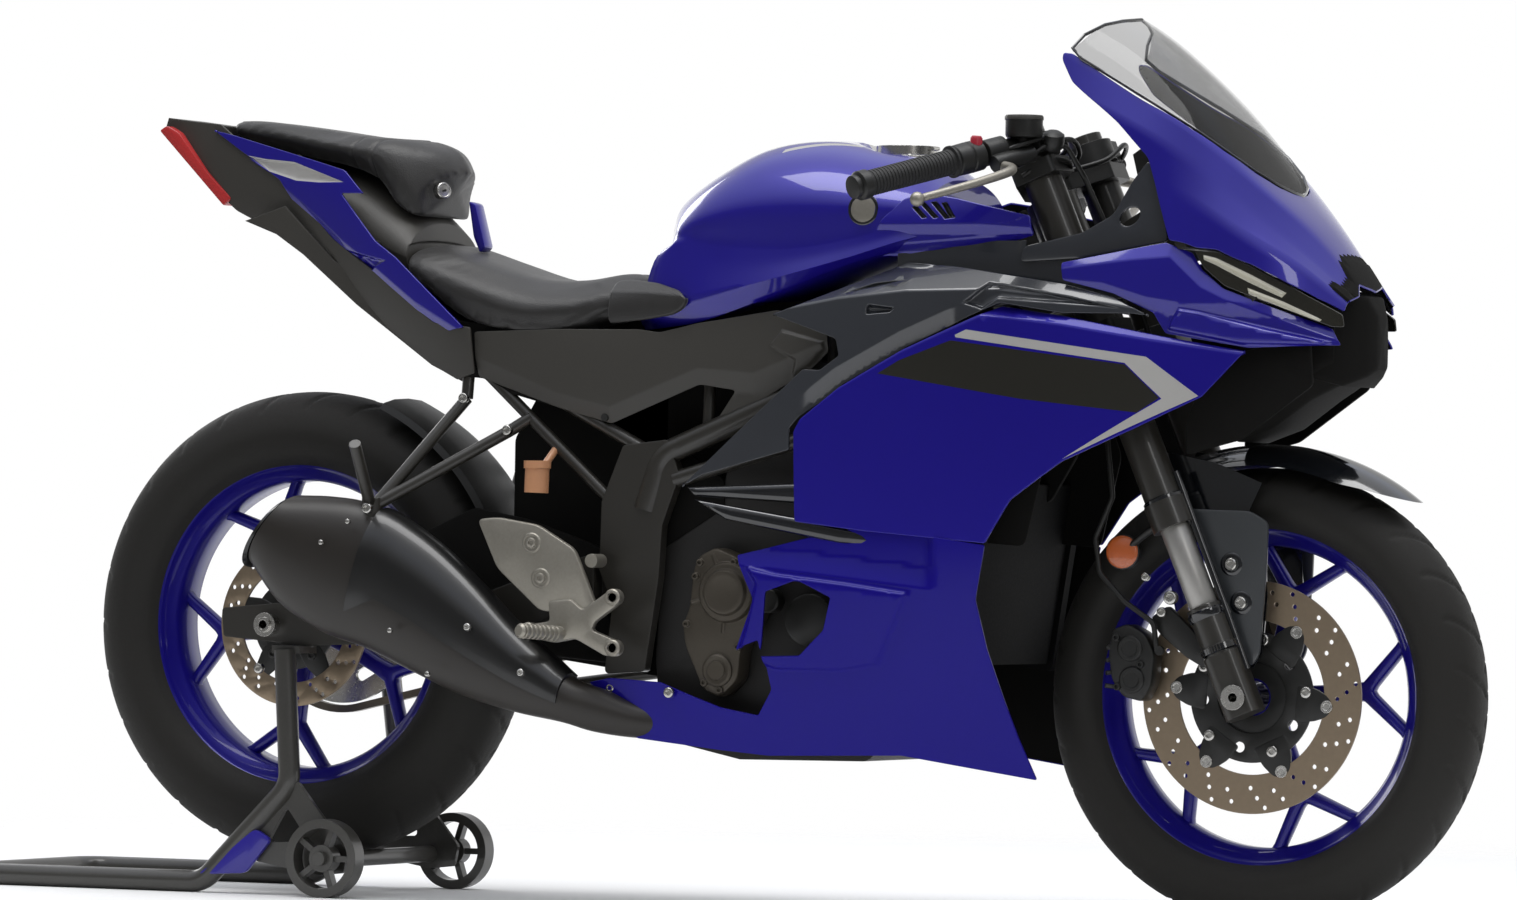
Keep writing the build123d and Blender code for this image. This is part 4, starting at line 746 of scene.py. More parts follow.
SCOOP_STATIONS = [
    (0, (176, 540), (178, 680), (150, 850)), (140, (178, 540), (180, 680), (152, 850)),
    (300, (184, 540), (190, 690), (172, 850)), (460, (188, 540), (194, 700), (182, 850)),
    (690, (164, 540), (176, 700), (168, 850))]
SCOOP_OUTLINE = [(137, 775), (220, 806), (317, 844), (394, 838), (463, 828), (546, 816), (615, 799),
                 (666, 775), (642, 778), (551, 778), (465, 791), (402, 764), (333, 734), (242, 685),
                 (184, 643), (170, 628), (170, 600), (45, 566), (15, 550), (187, 704), (212, 703),
                 (239, 722), (233, 744)]
SLIT = [(235, 802), (279, 816), (326, 821), (280, 811)]
TRAPEZOID = [(276, 789), (317, 784), (310, 778), (274, 775)]
GAP = [(446, 818), (410, 790), (440, 781), (462, 795), (600, 786), (640, 782), (560, 800)]

scoop_skin = Skin(SCOOP_STATIONS).raised(SLIT, -6, 2.2).raised(TRAPEZOID, -7, 2.2).raised(GAP, -8, 5)
scoop_skin.fold([(100, 770), (150, 782), (231, 796), (330, 806), (460, 808), (600, 792), (680, 780)], 0.9, 34)
scoop_skin.fold([(176, 664), (234, 706), (325, 754), (396, 784), (460, 806)], 0.45, 22, above=False,
                ends=(206, 390))
panel("scoop_shells", scoop_skin, SCOOP_OUTLINE, [SCOOP_GLOSS], ["scoop_panels"], step=7,
      thick=3)

# Cheeks with the pointed fin, and the lamps above

CHEEK_STATIONS = [
    (530, (172, 700), (176, 790), (172, 880)), (700, (166, 700), (170, 790), (164, 880)),
    (800, (140, 700), (146, 790), (138, 880)), (900, (96, 700), (100, 770), (84, 850))]
CHEEK_OUTLINE = [(542, 843), (681, 869), (714, 856), (729, 834), (757, 811), (884, 762), (896, 741),
                 (787, 736), (684, 753), (668, 779), (615, 803), (546, 820)]
FIN = [(690, 770), (702, 787), (728, 783), (893, 745), (874, 738), (780, 738), (686, 756)]

cheek_skin = Skin(CHEEK_STATIONS).raised(FIN, 8, 7)
cheek_skin.fold([(540, 834), (640, 846), (690, 850), (730, 812), (760, 797), (890, 748)], 0.5, 30)
cheek_skin.fold([(530, 824), (600, 818), (660, 800), (700, 794)], 0.35, 20, above=False)
panel("cheek_shells", cheek_skin, CHEEK_OUTLINE, [BLUE], ["cheek_panels"], step=7, thick=3)

LENS_OUTLINE = [(719, 859), (749, 857), (792, 839), (841, 813), (898, 780), (900, 764), (886, 764),
                (759, 814), (732, 837)]
STRIP_HIGH = [(731, 853), (748, 849), (790, 829), (833, 806), (828, 800), (788, 819), (746, 841), (732, 847)]
STRIP_LOW = [(787, 812), (830, 795), (874, 773), (869, 767), (828, 786), (789, 804)]
lens_skin = Skin(CHEEK_STATIONS, lift=-4).raised(STRIP_HIGH, 2.5, 2.5).raised(STRIP_LOW, 2.5, 2.5)
panel("headlight_lenses", lens_skin, LENS_OUTLINE, [LENS, LAMP_STRIP, LAMP_STRIP],
      ["headlights"], zones=[STRIP_HIGH, STRIP_LOW], step=6, thick=3)

# Nose cowl and screen: sections of (y, z) at the crown, shoulder, crease, side and lower edge

NOSE_STATIONS = [(520, 0, 1196, 128, 1122, 144, 1062, 150, 980, 166, 850),
                 (620, 0, 1136, 133, 1058, 148, 1022, 154, 950, 170, 850),
                 (700, 0, 1060, 133, 1014, 145, 976, 156, 925, 166, 850),
                 (780, 0, 960, 106, 947, 124, 912, 146, 880, 156, 800),
                 (850, 0, 884, 65, 876, 92, 852, 116, 838, 134, 780),
                 (912, 0, 800, 40, 796, 60, 789, 76, 782, 92, 750)]
ROW = 70                               # length given to one row of the nose in its flat outline
ROLL = radians(75)                     # turn of the crown between the middle and the shoulder
CREASE_SHIFTS = (-0.16, -0.08, 0, 0.08, 0.16)    # in rows: the creases are softened by averaging over these
NOSE_AXIS = 860                        # height of a line inside the nose


def nose_surface(x, b):
    """b runs round the nose: 0 at the crown, one ROW for each of the table's points, negative on the left."""
    rows = table_curve(NOSE_STATIONS, x)
    total_y, total_z = np.zeros(len(x)), np.zeros(len(x))
    for shift in CREASE_SHIFTS:
        t = np.abs(b / ROW) + shift
        fold = np.abs(t)
        crown = np.clip(fold, 0, 1) * ROLL
        y = rows[:, 2] * np.sin(crown) / sin(ROLL)
        z = rows[:, 1] - (rows[:, 1] - rows[:, 3]) * (1 - np.cos(crown)) / (1 - cos(ROLL))
        y = np.where(t < 0, -y, y)
        for k in range(1, 4):
            part = np.clip(fold - k, 0, 1 if k < 3 else 1.5) * (fold > k)
            y = y + (rows[:, 2 * k + 2] - rows[:, 2 * k]) * part
            z = z + (rows[:, 2 * k + 3] - rows[:, 2 * k + 1]) * part
        total_y += y / len(CREASE_SHIFTS)
        total_z += z / len(CREASE_SHIFTS)
    side = np.where(b < 0, 1.0, -1.0)
    return np.stack([x, side * total_y, total_z], 1)


def nose_row(x, z):
    """How far round the nose a height lies at x, in the units of nose_surface, found by halving."""
    low, high = 0.0, 4.4
    for _ in range(30):
        middle = (low + high) / 2
        if nose_surface(np.array([float(x)]), np.array([middle * ROW]))[0, 2] > z:
            low = middle
        else:
            high = middle
    return low * ROW


def both_halves(points):
    """An outline on the right half and its mirror, from the crown round and back to the crown."""
    return points + [(x, -b) for x, b in reversed(points) if abs(b) > 1e-6]


def nose_core(points):
    return points * (1, 0, 0) + (0, 0, NOSE_AXIS)


SCREEN_LOW = [(534, 1.0), (582, 1.0), (640, 1.0), (700, 0.97), (740, 0.86), (772, 0.66), (792, 0.4),
              (800, 0.16), (802, 0.0)]     # the screen's edges: x and the part of a ROW
SCREEN_TOP = [(578, 0.0), (572, 0.25), (560, 0.5), (545, 0.8), (534, 0.97)]
COWL_TIP = [(903, 1.6), (897, 0.8), (901, 0.45), (905, 0.0)]
COWL_SIDE = [(523, 1104), (540, 1075), (606, 1023), (651, 977), (669, 923), (687, 871), (722, 862),
             (749, 860), (792, 842), (841, 816), (870, 800), (898, 784)]
screen_ring = both_halves([(x, part * ROW) for x, part in SCREEN_TOP + SCREEN_LOW])
cowl_ring = [(804, 0.0)] + [(x + 1.5, part * ROW + 2.5) for x, part in SCREEN_LOW[-2::-1]]
cowl_ring += [(523, 1.12 * ROW)] + [(x, nose_row(x, z)) for x, z in COWL_SIDE]
cowl_ring += [(x, part * ROW) for x, part in COWL_TIP]
panel("nose_shell", nose_surface, both_halves(cowl_ring), [BLUE], ["nose_cowl"], both=False,
      core=nose_core, step=8, thick=3, corner=4)
panel("screen_shell", nose_surface, screen_ring, [SMOKE], ["windscreen"], both=False,
      core=nose_core, step=9, thick=2.6, corner=6)
screen_rim = nose_surface(*np.array(screen_ring, float).T)
trim = Shape()
trim.tube(np.vstack([screen_rim, screen_rim[:1]])[::2], 2.3, sides=8, smooth_by=2)
trim.piece("screen_edge_trim", "chassis", [BLACK_GLOSS], "gloss_black")

# Lofted bodies from a grid of points: stations along the bike, each with the same rows round the section


def patch(grid, along=5, breaks=(), around=4):
    """A finer grid through the points of a coarse one. Rows named in breaks stay sharp folds."""
    grid = np.array(grid, float)
    fine = np.stack([curve(grid[:, r], along) for r in range(grid.shape[1])], 1)
    stops = [0, *breaks, grid.shape[1] - 1]
    parts = []
    for a, b in zip(stops, stops[1:]):
        part = np.stack([curve(line[a:b + 1], around) if b - a > 1 else
                         np.linspace(line[a], line[b], around + 1) for line in fine], 0)
        parts.append(part if b == stops[-1] else part[:, :-1])
    return np.concatenate(parts, 1)


def whole(grid):
    """Full sections from halves that are drawn from the crown down."""
    return np.concatenate([grid[:, :0:-1], grid * RIGHT_TO_LEFT], 1)
TANK_GRID = [[(-86, 0, 868), (-72, 30, 868), (-58, 60, 868), (-44, 92, 870), (-34, 112, 869),
              (-64, 104, 846), (-84, 104, 778), (-86, 88, 756)],
             [(-82, 0, 896), (-68, 34, 894), (-52, 66, 889), (-37, 98, 881), (-27, 118, 871),
              (-46, 116, 846), (-58, 122, 783), (-60, 108, 757)],
             [(-58, 0, 930), (-50, 42, 924), (-36, 80, 911), (-22, 112, 891), (-10, 122, 874),
              (-12, 126, 845), (-18, 133, 789), (-22, 118, 761)],
             [(5, 0, 969), (8, 52, 962), (14, 100, 940), (20, 130, 904), (26, 129, 872), (24, 134, 842),
              (22, 143, 797), (22, 128, 768)], [(80, 0, 1000), (80, 58, 994), (80, 110, 966),
                                                (80, 142, 916), (80, 138, 867), (80, 144, 838),
                                                (80, 151, 810), (80, 134, 786)],
             [(160, 0, 1008), (160, 60, 1002), (160, 116, 973), (160, 151, 922), (160, 148, 864),
              (160, 152, 846), (160, 158, 829), (160, 140, 814)],
             [(240, 0, 996), (240, 60, 990), (240, 116, 965), (240, 152, 922), (240, 151, 876),
              (240, 154, 862), (240, 158, 850), (240, 144, 842)],
             [(300, 0, 981), (300, 56, 976), (300, 108, 954), (300, 148, 922), (300, 151, 890),
              (300, 153, 878), (300, 156, 868), (300, 142, 858)],
             [(336, 0, 956), (336, 52, 952), (336, 100, 938), (336, 136, 914), (336, 142, 896),
              (336, 145, 886), (336, 148, 878), (336, 136, 870)]]

CAP_CENTRE, CAP_HEIGHT = 250, 988      # the tank is flat round its filler

tank_skin = whole(patch(TANK_GRID, 6, breaks=(4, 6), around=5))
height = tank_skin[:, :, 2]
from_cap = np.hypot(tank_skin[:, :, 0] - CAP_CENTRE, tank_skin[:, :, 1])
level = np.minimum(height, CAP_HEIGHT)
tank_skin[:, :, 2] = np.where(from_cap < 60, level + (height - level) * smooth((from_cap - 47) / 12), height)
tank = Shape()
tank.rings(list(tank_skin))
tank.piece("tank_body", "chassis", [TANK_BLUE], "blue_paint", ["tank"], sharp=50)

POD_OUTLINE = [(262, 852), (268, 876), (284, 900), (312, 926), (338, 934), (384, 927), (440, 914),
               (486, 904), (490, 878), (455, 869), (379, 863), (311, 851)]
POD_STATIONS = [(200, (150, 840), (154, 880), (138, 940)), (330, (150, 840), (156, 885), (142, 940)),
                (420, (146, 840), (152, 885), (142, 940)), (500, (138, 840), (142, 885), (136, 940))]
LOUVRES = [[(low[0] - 5, low[1]), (low[0] + 3, low[1] + 1), (top[0] + 5, top[1]), (top[0] - 3, top[1] - 1)]
           for low, top in (((345, 900), (327, 916)), ((361, 900), (337, 921)), ((377, 899), (353, 922)),
                            ((384, 900), (368, 921)))]
pod_skin = Skin(POD_STATIONS).fold([(255, 893), (420, 893), (495, 888)], 0.5, 14, above=False)
pod_skin.fold([(255, 864), (367, 872), (423, 877), (495, 880)], 0.7, 12, above=False)
for slot in LOUVRES:
    pod_skin.raised(slot, -4.5, 1.4)
panel("tank_pods", pod_skin, POD_OUTLINE, [BLUE] + [BLACK_PLASTIC] * 4, zones=LOUVRES, step=5,
      thick=3, edge=2)
BADGE = dict(base=(257, -151.5, 912), axis=(0.02, -1, 0.05), sides=48)
badge = Shape()
badge.lathe([(-4, 21), (2.2, 21), (3, 19.5), (3, 17.5), (2.0, 17)], **BADGE)
badge.mat = 1
badge.lathe([(-3, 17.2), (2.2, 17.2), (2.8, 16), (3.2, 12), (3.4, TIP)], **BADGE)
badge.mirror()
badge.piece("tank_badges_blank", "chassis", [BLACK_GLOSS, ALUMINIUM], "gloss_black")
filler = Shape()
filler.lathe([(-6, 46), (0.6, 46), (1.4, 47.5), (1.4, 50), (0.4, 52), (-6, 52)], (CAP_CENTRE, 0, 986.5), UP,
             sides=64, closed=True)
for k in range(3):
    a = 1 + 2.1 * k
    filler.bolt((CAP_CENTRE + 49 * cos(a), 49 * sin(a), 987), UP, 2.0, 1.6)
filler.piece("filler_ring", "chassis", [STEEL], "bright_steel")

# Seats: padded shells swollen by a short cloth simulation

VOXEL, FOAM_FILL = 5.5, 0.85
PRESSURE, STIFFNESS, BENDING = 3.5, 25, 2
SWELL, SWELL_FRAMES = 5, 20            # the cover rises by no more than SWELL


def swollen(shape, name, replaces):
    """A closed shape blown up as a tight cover over foam."""
    pad = placed(name, shape.mesh(name))
    bpy.context.view_layer.objects.active = pad
    pad.select_set(True)
    even = pad.modifiers.new("even", "REMESH")
    even.mode = "VOXEL"
    even.voxel_size = VOXEL * MM
    bpy.ops.object.modifier_apply(modifier="even")
    rest = np.empty(len(pad.data.vertices) * 3)
    pad.data.vertices.foreach_get("co", rest)
    cloth = pad.modifiers.new("cloth", "CLOTH")
    cloth.settings.use_pressure = True
    cloth.settings.uniform_pressure_force = PRESSURE
    cloth.settings.effector_weights.gravity = 0
    cloth.settings.tension_stiffness = cloth.settings.compression_stiffness = STIFFNESS
    cloth.settings.bending_stiffness = BENDING
    for number in range(1, SWELL_FRAMES + 1):
        bpy.context.scene.frame_set(number)
    ready = pad.evaluated_get(bpy.context.evaluated_depsgraph_get())
    swelled = np.empty(len(rest))
    ready.data.vertices.foreach_get("co", swelled)
    move = (swelled - rest).reshape(-1, 3)
    pad.modifiers.remove(cloth)
    length = np.maximum(np.linalg.norm(move, axis=1, keepdims=True), 1e-9)
    rest += (move * np.minimum(1, SWELL * MM / length)).ravel()
    pad.data.vertices.foreach_set("co", rest)
    bpy.context.scene.frame_set(1)
    finer = pad.modifiers.new("finer", "SUBSURF")
    finer.levels = finer.render_levels = 1
    bpy.ops.object.modifier_apply(modifier="finer")
    pad.select_set(False)
    finish_piece(pad, "chassis", [VINYL], replaces)
    return pad


def sewn(pad, behind, width, depth):
    """Presses a sewn channel across a pad, which bows back toward the sides."""
    mesh = pad.data
    places, normals = np.empty(len(mesh.vertices) * 3), np.empty(len(mesh.vertices) * 3)
    mesh.vertices.foreach_get("co", places)
    mesh.vertices.foreach_get("normal", normals)
    x, y, _ = (places.reshape(-1, 3) / MM).T
    strong = np.exp(-((x + behind + (np.abs(y) - 50) * 0.5) / width) ** 2)
    places -= normals * np.repeat(strong * depth * MM, 3)
    mesh.vertices.foreach_set("co", places)
    mesh.update()
SEAT_GRID = [
    [(-428, 0, 872), (-428, 60, 870), (-427, 98, 860), (-426, 112, 846), (-424, 108, 834)],
    [(-396, 0, 866), (-396, 64, 864), (-396, 108, 853), (-395, 124, 832), (-394, 118, 812)],
    [(-330, 0, 844), (-330, 70, 842), (-330, 116, 829), (-330, 134, 806), (-330, 126, 774)],
    [(-250, 0, 821), (-250, 72, 819), (-250, 118, 807), (-250, 137, 782), (-250, 128, 757)],
    [(-180, 0, 818), (-180, 70, 817), (-180, 114, 805), (-180, 134, 784), (-180, 125, 756)],
    [(-120, 0, 828), (-120, 62, 827), (-120, 100, 817), (-120, 122, 799), (-120, 116, 768)],
    [(-98, 30, 824), (-98, 60, 822), (-96, 92, 816), (-94, 112, 802), (-94, 108, 770)]]
saddle = Shape()
saddle.rings(list(whole(patch(SEAT_GRID, 4))))
swollen(saddle, "rider_seat_pad", ["seat"])
FLAP_STATIONS = [(-120, (124, 756), (128, 795), (104, 830)), (-60, (130, 756), (136, 795), (120, 830)),
                 (0, (140, 756), (146, 795), (134, 830)), (20, (143, 756), (149, 795), (138, 830))]
FLAP_OUTLINE = [(-118, 762), (-66, 767), (-20, 774), (-4, 782), (4, 795), (-10, 808), (-50, 819),
                (-98, 824), (-118, 822)]
flap_skin = Skin(FLAP_STATIONS).fold([(-120, 806), (-60, 804), (-10, 800), (10, 798)], 0.6, 22)
panel("rider_seat_tips", flap_skin, FLAP_OUTLINE, [VINYL], step=6, thick=7, edge=4, corner=8)

PILLION_GRID = [
    [(-728, 0, 1034), (-728, 24, 1034), (-727, 40, 1030), (-726, 46, 1022), (-726, 40, 1014)],
    [(-680, 0, 1032), (-680, 34, 1032), (-680, 56, 1027), (-680, 62, 1018), (-680, 54, 1006)],
    [(-600, 0, 1022), (-600, 46, 1022), (-600, 72, 1016), (-600, 78, 1006), (-600, 68, 992)],
    [(-530, 0, 1012), (-530, 54, 1012), (-530, 84, 1006), (-530, 91, 994), (-530, 80, 978)],
    [(-480, 0, 1008), (-480, 58, 1007), (-480, 90, 1000), (-482, 100, 984), (-480, 88, 958)],
    [(-446, 0, 1006), (-450, 50, 1003), (-456, 84, 994), (-462, 100, 968), (-460, 88, 926)],
    [(-408, 0, 992), (-416, 42, 988), (-430, 72, 978), (-442, 90, 952), (-442, 80, 908)],
    [(-388, 0, 964), (-396, 32, 960), (-410, 58, 952), (-426, 76, 934), (-428, 68, 904)]]
cushion = Shape()
cushion.rings(list(whole(patch(PILLION_GRID, 4))))
pillion = swollen(cushion, "pillion_seat_pad", ["pillion_seat"])
sewn(pillion, 470, 3.2, 2.2)
sewn(pillion, 505, 2.6, 1.6)
LOCK_FACING = (0.85, -0.5, 0.1)
lock = Shape()
lock.lathe([(-8, 11), (2, 11), (3, 10), (3, 8.5), (2.2, 8), (2.6, TIP)], (-401, -54, 942), LOCK_FACING,
           sides=32)
lock.mat = 1
lock.lathe([(0, 1.8), (2.4, 1.8), (2.4, TIP)], (-398.5, -55.5, 942), LOCK_FACING, sides=12)
lock.piece("seat_lock", "chassis", [STEEL, BLACK_PLASTIC], "bright_steel")

# Tail panels, side covers

TAIL_STATIONS = [(-760, (52, 900), (64, 985), (62, 1035)), (-600, (80, 860), (98, 945), (92, 1010)),
                 (-460, (112, 780), (132, 870), (120, 960)), (-320, (136, 720), (144, 790), (138, 880))]
TAIL_OUTLINE = [(-744, 1024), (-628, 955), (-610, 928), (-541, 860), (-457, 807), (-375, 748), (-325, 757),
                (-430, 850), (-463, 872), (-522, 936), (-486, 936), (-519, 967), (-560, 978), (-711, 1017)]
SLASH = [(-690, 990), (-655, 984), (-604, 979), (-519, 951), (-560, 951), (-600, 954), (-650, 968)]
LEDGE = [(-520, 862), (-444, 846), (-478, 830)]
TAIL_FOLD = [(-740, 1010), (-640, 960), (-560, 905), (-520, 874), (-470, 842), (-400, 790), (-330, 752)]
tail_skin = Skin(TAIL_STATIONS).raised(SLASH, -4, 3).raised(LEDGE, -5, 3).fold(TAIL_FOLD, 0.4, 30,
                                                                               above=False)
panel("tail_shells", tail_skin, TAIL_OUTLINE, [BLUE, PALE_BAND], ["tail_panels"],
      zones=[SLASH], step=7, thick=3)
tongue = Shape()
tongue.plate([(-384, 930), (-374, 926), (-358, 868), (-366, 860), (-376, 882)], -13, 13, corner=4, edge=2)
tongue.piece("seat_tongue", "chassis", [BLUE], "blue_paint")
UNDER_OUTLINE = [(-824, 1041), (-828, 1026), (-723, 927), (-708, 915), (-677, 901), (-628, 884),
                 (-587, 857), (-505, 790), (-391, 710), (-344, 688), (-313, 697), (-316, 757), (-375, 764),
                 (-457, 824), (-541, 876), (-600, 935), (-640, 965), (-735, 1032)]
panel("undertail_sides", Skin(TAIL_STATIONS, lift=-4), UNDER_OUTLINE, [GREY_COVER], step=9,
      thick=3)
lamp = Shape()
lamp.plate([(-828, 1024), (-817, 1031), (-798, 1021), (-752, 966), (-715, 932), (-727, 921)], -66, 66,
           corner=4, edge=2)
lamp.piece("tail_lamp", "chassis", [RED_LENS], "red_lens", ["tail_light"])

COVER_STATIONS = [(-330, (118, 620), (124, 700), (124, 780)), (-120, (128, 600), (136, 690), (128, 780)),
                  (60, (134, 600), (142, 690), (136, 780)), (240, (146, 600), (152, 700), (148, 780))]
COVER_OUTLINE = [(-316, 752), (-190, 756), (-71, 756), (-40, 752), (14, 764), (133, 782), (206, 752),
                 (208, 728), (182, 706), (30, 622), (70, 677), (18, 684), (-111, 632), (-190, 652),
                 (-312, 692)]
COVER_TONGUE = [(140, 758), (204, 742), (206, 730), (182, 708), (150, 690), (158, 716), (120, 735)]
cover_skin = Skin(COVER_STATIONS).raised(COVER_TONGUE, 5, 6)
cover_skin.fold([(-304, 716), (-190, 672), (-111, 654), (18, 706), (100, 700), (208, 742)], 0.35, 30,
                above=False)
panel("side_cover_shells", cover_skin, COVER_OUTLINE, [GREY_COVER], ["side_covers"], step=8,
      thick=3, corner=5)

# Wheels


def pillow(shape, outline, middle, half, width, step=5, place=None):
    """A flat arm, swollen: half its thickness in the middle and rounded over a width from its outline."""
    loops = [inset(outline, width * part) for part in (0.15, 0.45, 1.0)]
    flat, tris, _ = fill(divided(outline, step), step=step * 1.6, loops=loops)
    deep = distance(outline, flat[:, 0], flat[:, 1])
    rise = half * np.sqrt(np.maximum(0, 1 - (1 - np.minimum(deep / width, 1)) ** 2))
    rim = deep < 0.05
    rise[rim] = 0
    verts = [(x, middle + way * h, z) for way in (1, -1) for (x, z), h in zip(flat, rise)]
    low = np.arange(len(flat)) + len(flat) * ~rim
    faces = [tuple(int(i) for i in t) for t in tris] + [tuple(int(i) for i in low[t[::-1]]) for t in tris]
    shape.add([place(*v) for v in verts] if place else verts, faces)


def spun(wheel, angle=0.0):
    """Turns a shape drawn round the origin, in side view, by an angle and moves it to a wheel's centre."""
    def place(x, y, z):
        return (wheel[0] + x * cos(angle) - z * sin(angle), y, wheel[1] + x * sin(angle) + z * cos(angle))
    return place


HALF_SPOKE = [(20, 15), (60, 11.5), (110, 11), (132, 13), (178, 58), (190, 75), (204, 78), (206, 62),
              (196, 54), (150, 5)]
Y_SPOKE = [(20, -15)] + HALF_SPOKE + [(147, 0)] + [(r, -z) for r, z in HALF_SPOKE[:0:-1]]
RIM_OUTSIDE = [(0, 226), (0, 230), (2, 231.5), (6, 230), (8, 222), (11, 219), (20, 217), (24, 205), (30, 199)]
RIM_INSIDE = [(30, 193.5), (24, 198), (18, 208), (10, 211), (4, 216)]     # both from the rim's edge inward


def cast_wheel(end, wheel, half, hub, phase):
    """A cast wheel with five forked spokes. half is half its width; hub gives the two ends of the hub."""
    centre = (wheel[0], 0, wheel[1])
    low, high = hub
    profile = [(d - half, r) for d, r in RIM_OUTSIDE]
    profile += [(half - d, r) for d, r in RIM_OUTSIDE[::-1] + RIM_INSIDE[::-1]]
    profile += [(d - half, r) for d, r in RIM_INSIDE]
    casting = Shape()
    casting.lathe(profile, centre, sides=160, closed=True)
    casting.lathe([(low, 21), (low, 27), (low + 2, 30), (low + 14, 31), (-16, 31), (-12, 36), (12, 36),
                   (16, 31), (high - 14, 31), (high - 2, 30), (high, 27), (high, 21)], centre, sides=64,
                  closed=True)
    for k in range(5):
        pillow(casting, Y_SPOKE, 0, 11, 5, place=spun(wheel, phase + TURN * k / 5))
    casting.piece(end + "_wheel_casting", end + "_wheel", [BLUE_RIM], "blue_rim", [end + "_rim"], sharp=40)


cast_wheel("front", FRONT, 41, (-52, 48), radians(4))
cast_wheel("rear", REAR, 55, (-54, 76), radians(43))

TYRE_FORM = [(0.70, -0.04), (0.76, 0.0), (0.88, 0.09), (0.975, 0.23), (1.0, 0.40), (0.93, 0.57),
             (0.80, 0.735), (0.62, 0.87), (0.42, 0.95), (0.22, 0.988), (0, 1.0)]    # of width, height
GROOVES = [(6, 14, 34, 44), (20, -12, 46, -42), (8, 4, 22, -10), (40, 8, 58, 30)]
PITCHES, STEPS = 27, 18                # repeats of the tread round a tyre, and steps in each
SEAT_RADIUS, GROOVE_WIDTH, GROOVE_DEPTH = 218, 2.6, 2.4


def tyre(end, wheel, grooves):
    """A road tyre with slanted grooves cut in its tread. A groove runs from (u, v) to (u, v): u round the
    tyre, v across it."""
    low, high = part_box(end + "_tyre")
    radius, half = (high.z - low.z) / 2 / MM, (high.y - low.y) / 2 / MM
    wall_height = radius - SEAT_RADIUS
    side = curve([(part * half, SEAT_RADIUS + up * wall_height) for part, up in TYRE_FORM], 4)
    section = np.vstack([side * (-1, 1), side[-2::-1]])
    count = PITCHES * STEPS
    angle = (np.arange(count) * 2 * pi / count)[:, None]
    pitch = TURN * radius / PITCHES
    u = (np.arange(count) * 2 * pi * radius / count)[:, None]
    v = section[:, 0]
    deep = np.zeros((count, len(v)))
    for u0, v0, u1, v1 in grooves:
        length = (u1 - u0) ** 2 + (v1 - v0) ** 2
        for wrap in (-2, -1, 0, 1):
            a = np.mod(u, pitch) - u0 + pitch * wrap
            t = np.clip((a * (u1 - u0) + (v - v0) * (v1 - v0)) / length, 0, 1)
            away = np.hypot(a - t * (u1 - u0), v - v0 - t * (v1 - v0))
            deep = np.maximum(deep, smooth(1.6 - away / GROOVE_WIDTH))
    tread = section[:, 1] > SEAT_RADIUS + 0.6 * wall_height
    inner = np.array([(0.62 * half, 216), (0.80 * half, 232), (0.86 * half, 250), (0, radius - 9)])
    inner = np.vstack([inner, inner[-2::-1] * (-1, 1)])
    r = np.hstack([section[:, 1] - GROOVE_DEPTH * deep * tread, np.tile(inner[:, 1], (count, 1))])
    y = np.tile(np.concatenate([v, inner[:, 0]]), (count, 1))
    shape = Shape()
    shape.rings(list(np.stack([wheel[0] + np.cos(angle) * r, y, wheel[1] + np.sin(angle) * r], 2)),
                closed=True)
    shape.piece(end + "_tyre_tread", end + "_wheel", [RUBBER], "tyre_rubber", [end + "_tyre"], sharp=50)


tyre("front", FRONT, GROOVES)
tyre("rear", REAR, [(u0, v0 * 1.2, u1, v1 * 1.25) for u0, v0, u1, v1 in GROOVES])

# Brake discs, drawn in side view round the wheels' centres


def round_at(radius, angle, centre=(0, 0)):
    return (centre[0] + radius * cos(angle), centre[1] + radius * sin(angle))


def circle(radius, count, centre=(0, 0)):
    return [round_at(radius, TURN * k / count, centre) for k in range(count)]


def drilled(inner, outer, rows, count):
    """Holes of a brake disc: slanted rows from the inner to the outer edge."""
    return [circle(3.1, 10, round_at(inner + (outer - inner) * part, TURN * k / count + 0.07 * n))
            for k in range(count) for n, part in enumerate(rows[k % len(rows)])]


def carrier_arm(angle, half, tip):
    """Outline of a disc carrier's arm. half is (radius, half angle) from its root out; tip ends it."""
    spots = [(r, -t) for r, t in half] + [(tip, 0)] + [(r, t) for r, t in half[::-1]]
    return [round_at(r, angle + t) for r, t in spots]


move = spun(FRONT)
disc = Shape()
disc.plate(circle(149, 120), -61, -57, edge=0.5, place=move,
           holes=[circle(99, 90)] + drilled(99, 149, [(0.34, 0.6, 0.86), (0.47, 0.74)], 24))
disc.piece("front_disc_ring", "front_wheel", [DISC], "disc_steel", ["front_disc"], sharp=8)
carrier, buttons = Shape(), Shape()
for k in range(6):
    a = TURN * k / 6 - 0.1
    carrier.plate(carrier_arm(a, [(66, 0.36), (88, 0.24), (104, 0.13)], 113), -61.5, -55.5, corner=5,
                  place=move)
    buttons.lathe([(-5, 8.6), (0.4, 8.6), (1.6, 7.8), (1.6, 5), (0.6, 4.4), (0.6, TIP)],
                  move(103 * cos(a), -61.5, 103 * sin(a)), RIGHT, sides=24)
lightening = [circle(7, 16, round_at(66, a)) for a in np.arange(5) * pi / 2.5 + 0.7]
carrier.plate(circle(84, 72), -61, -55.7, edge=1.5, holes=[circle(46, 48)] + lightening, place=move)
carrier.plate(circle(60, 60), -56, -48, holes=[circle(24, 32)], place=move)
carrier.piece("front_disc_carrier", "front_wheel", [BLACK_PART], "black_plastic")
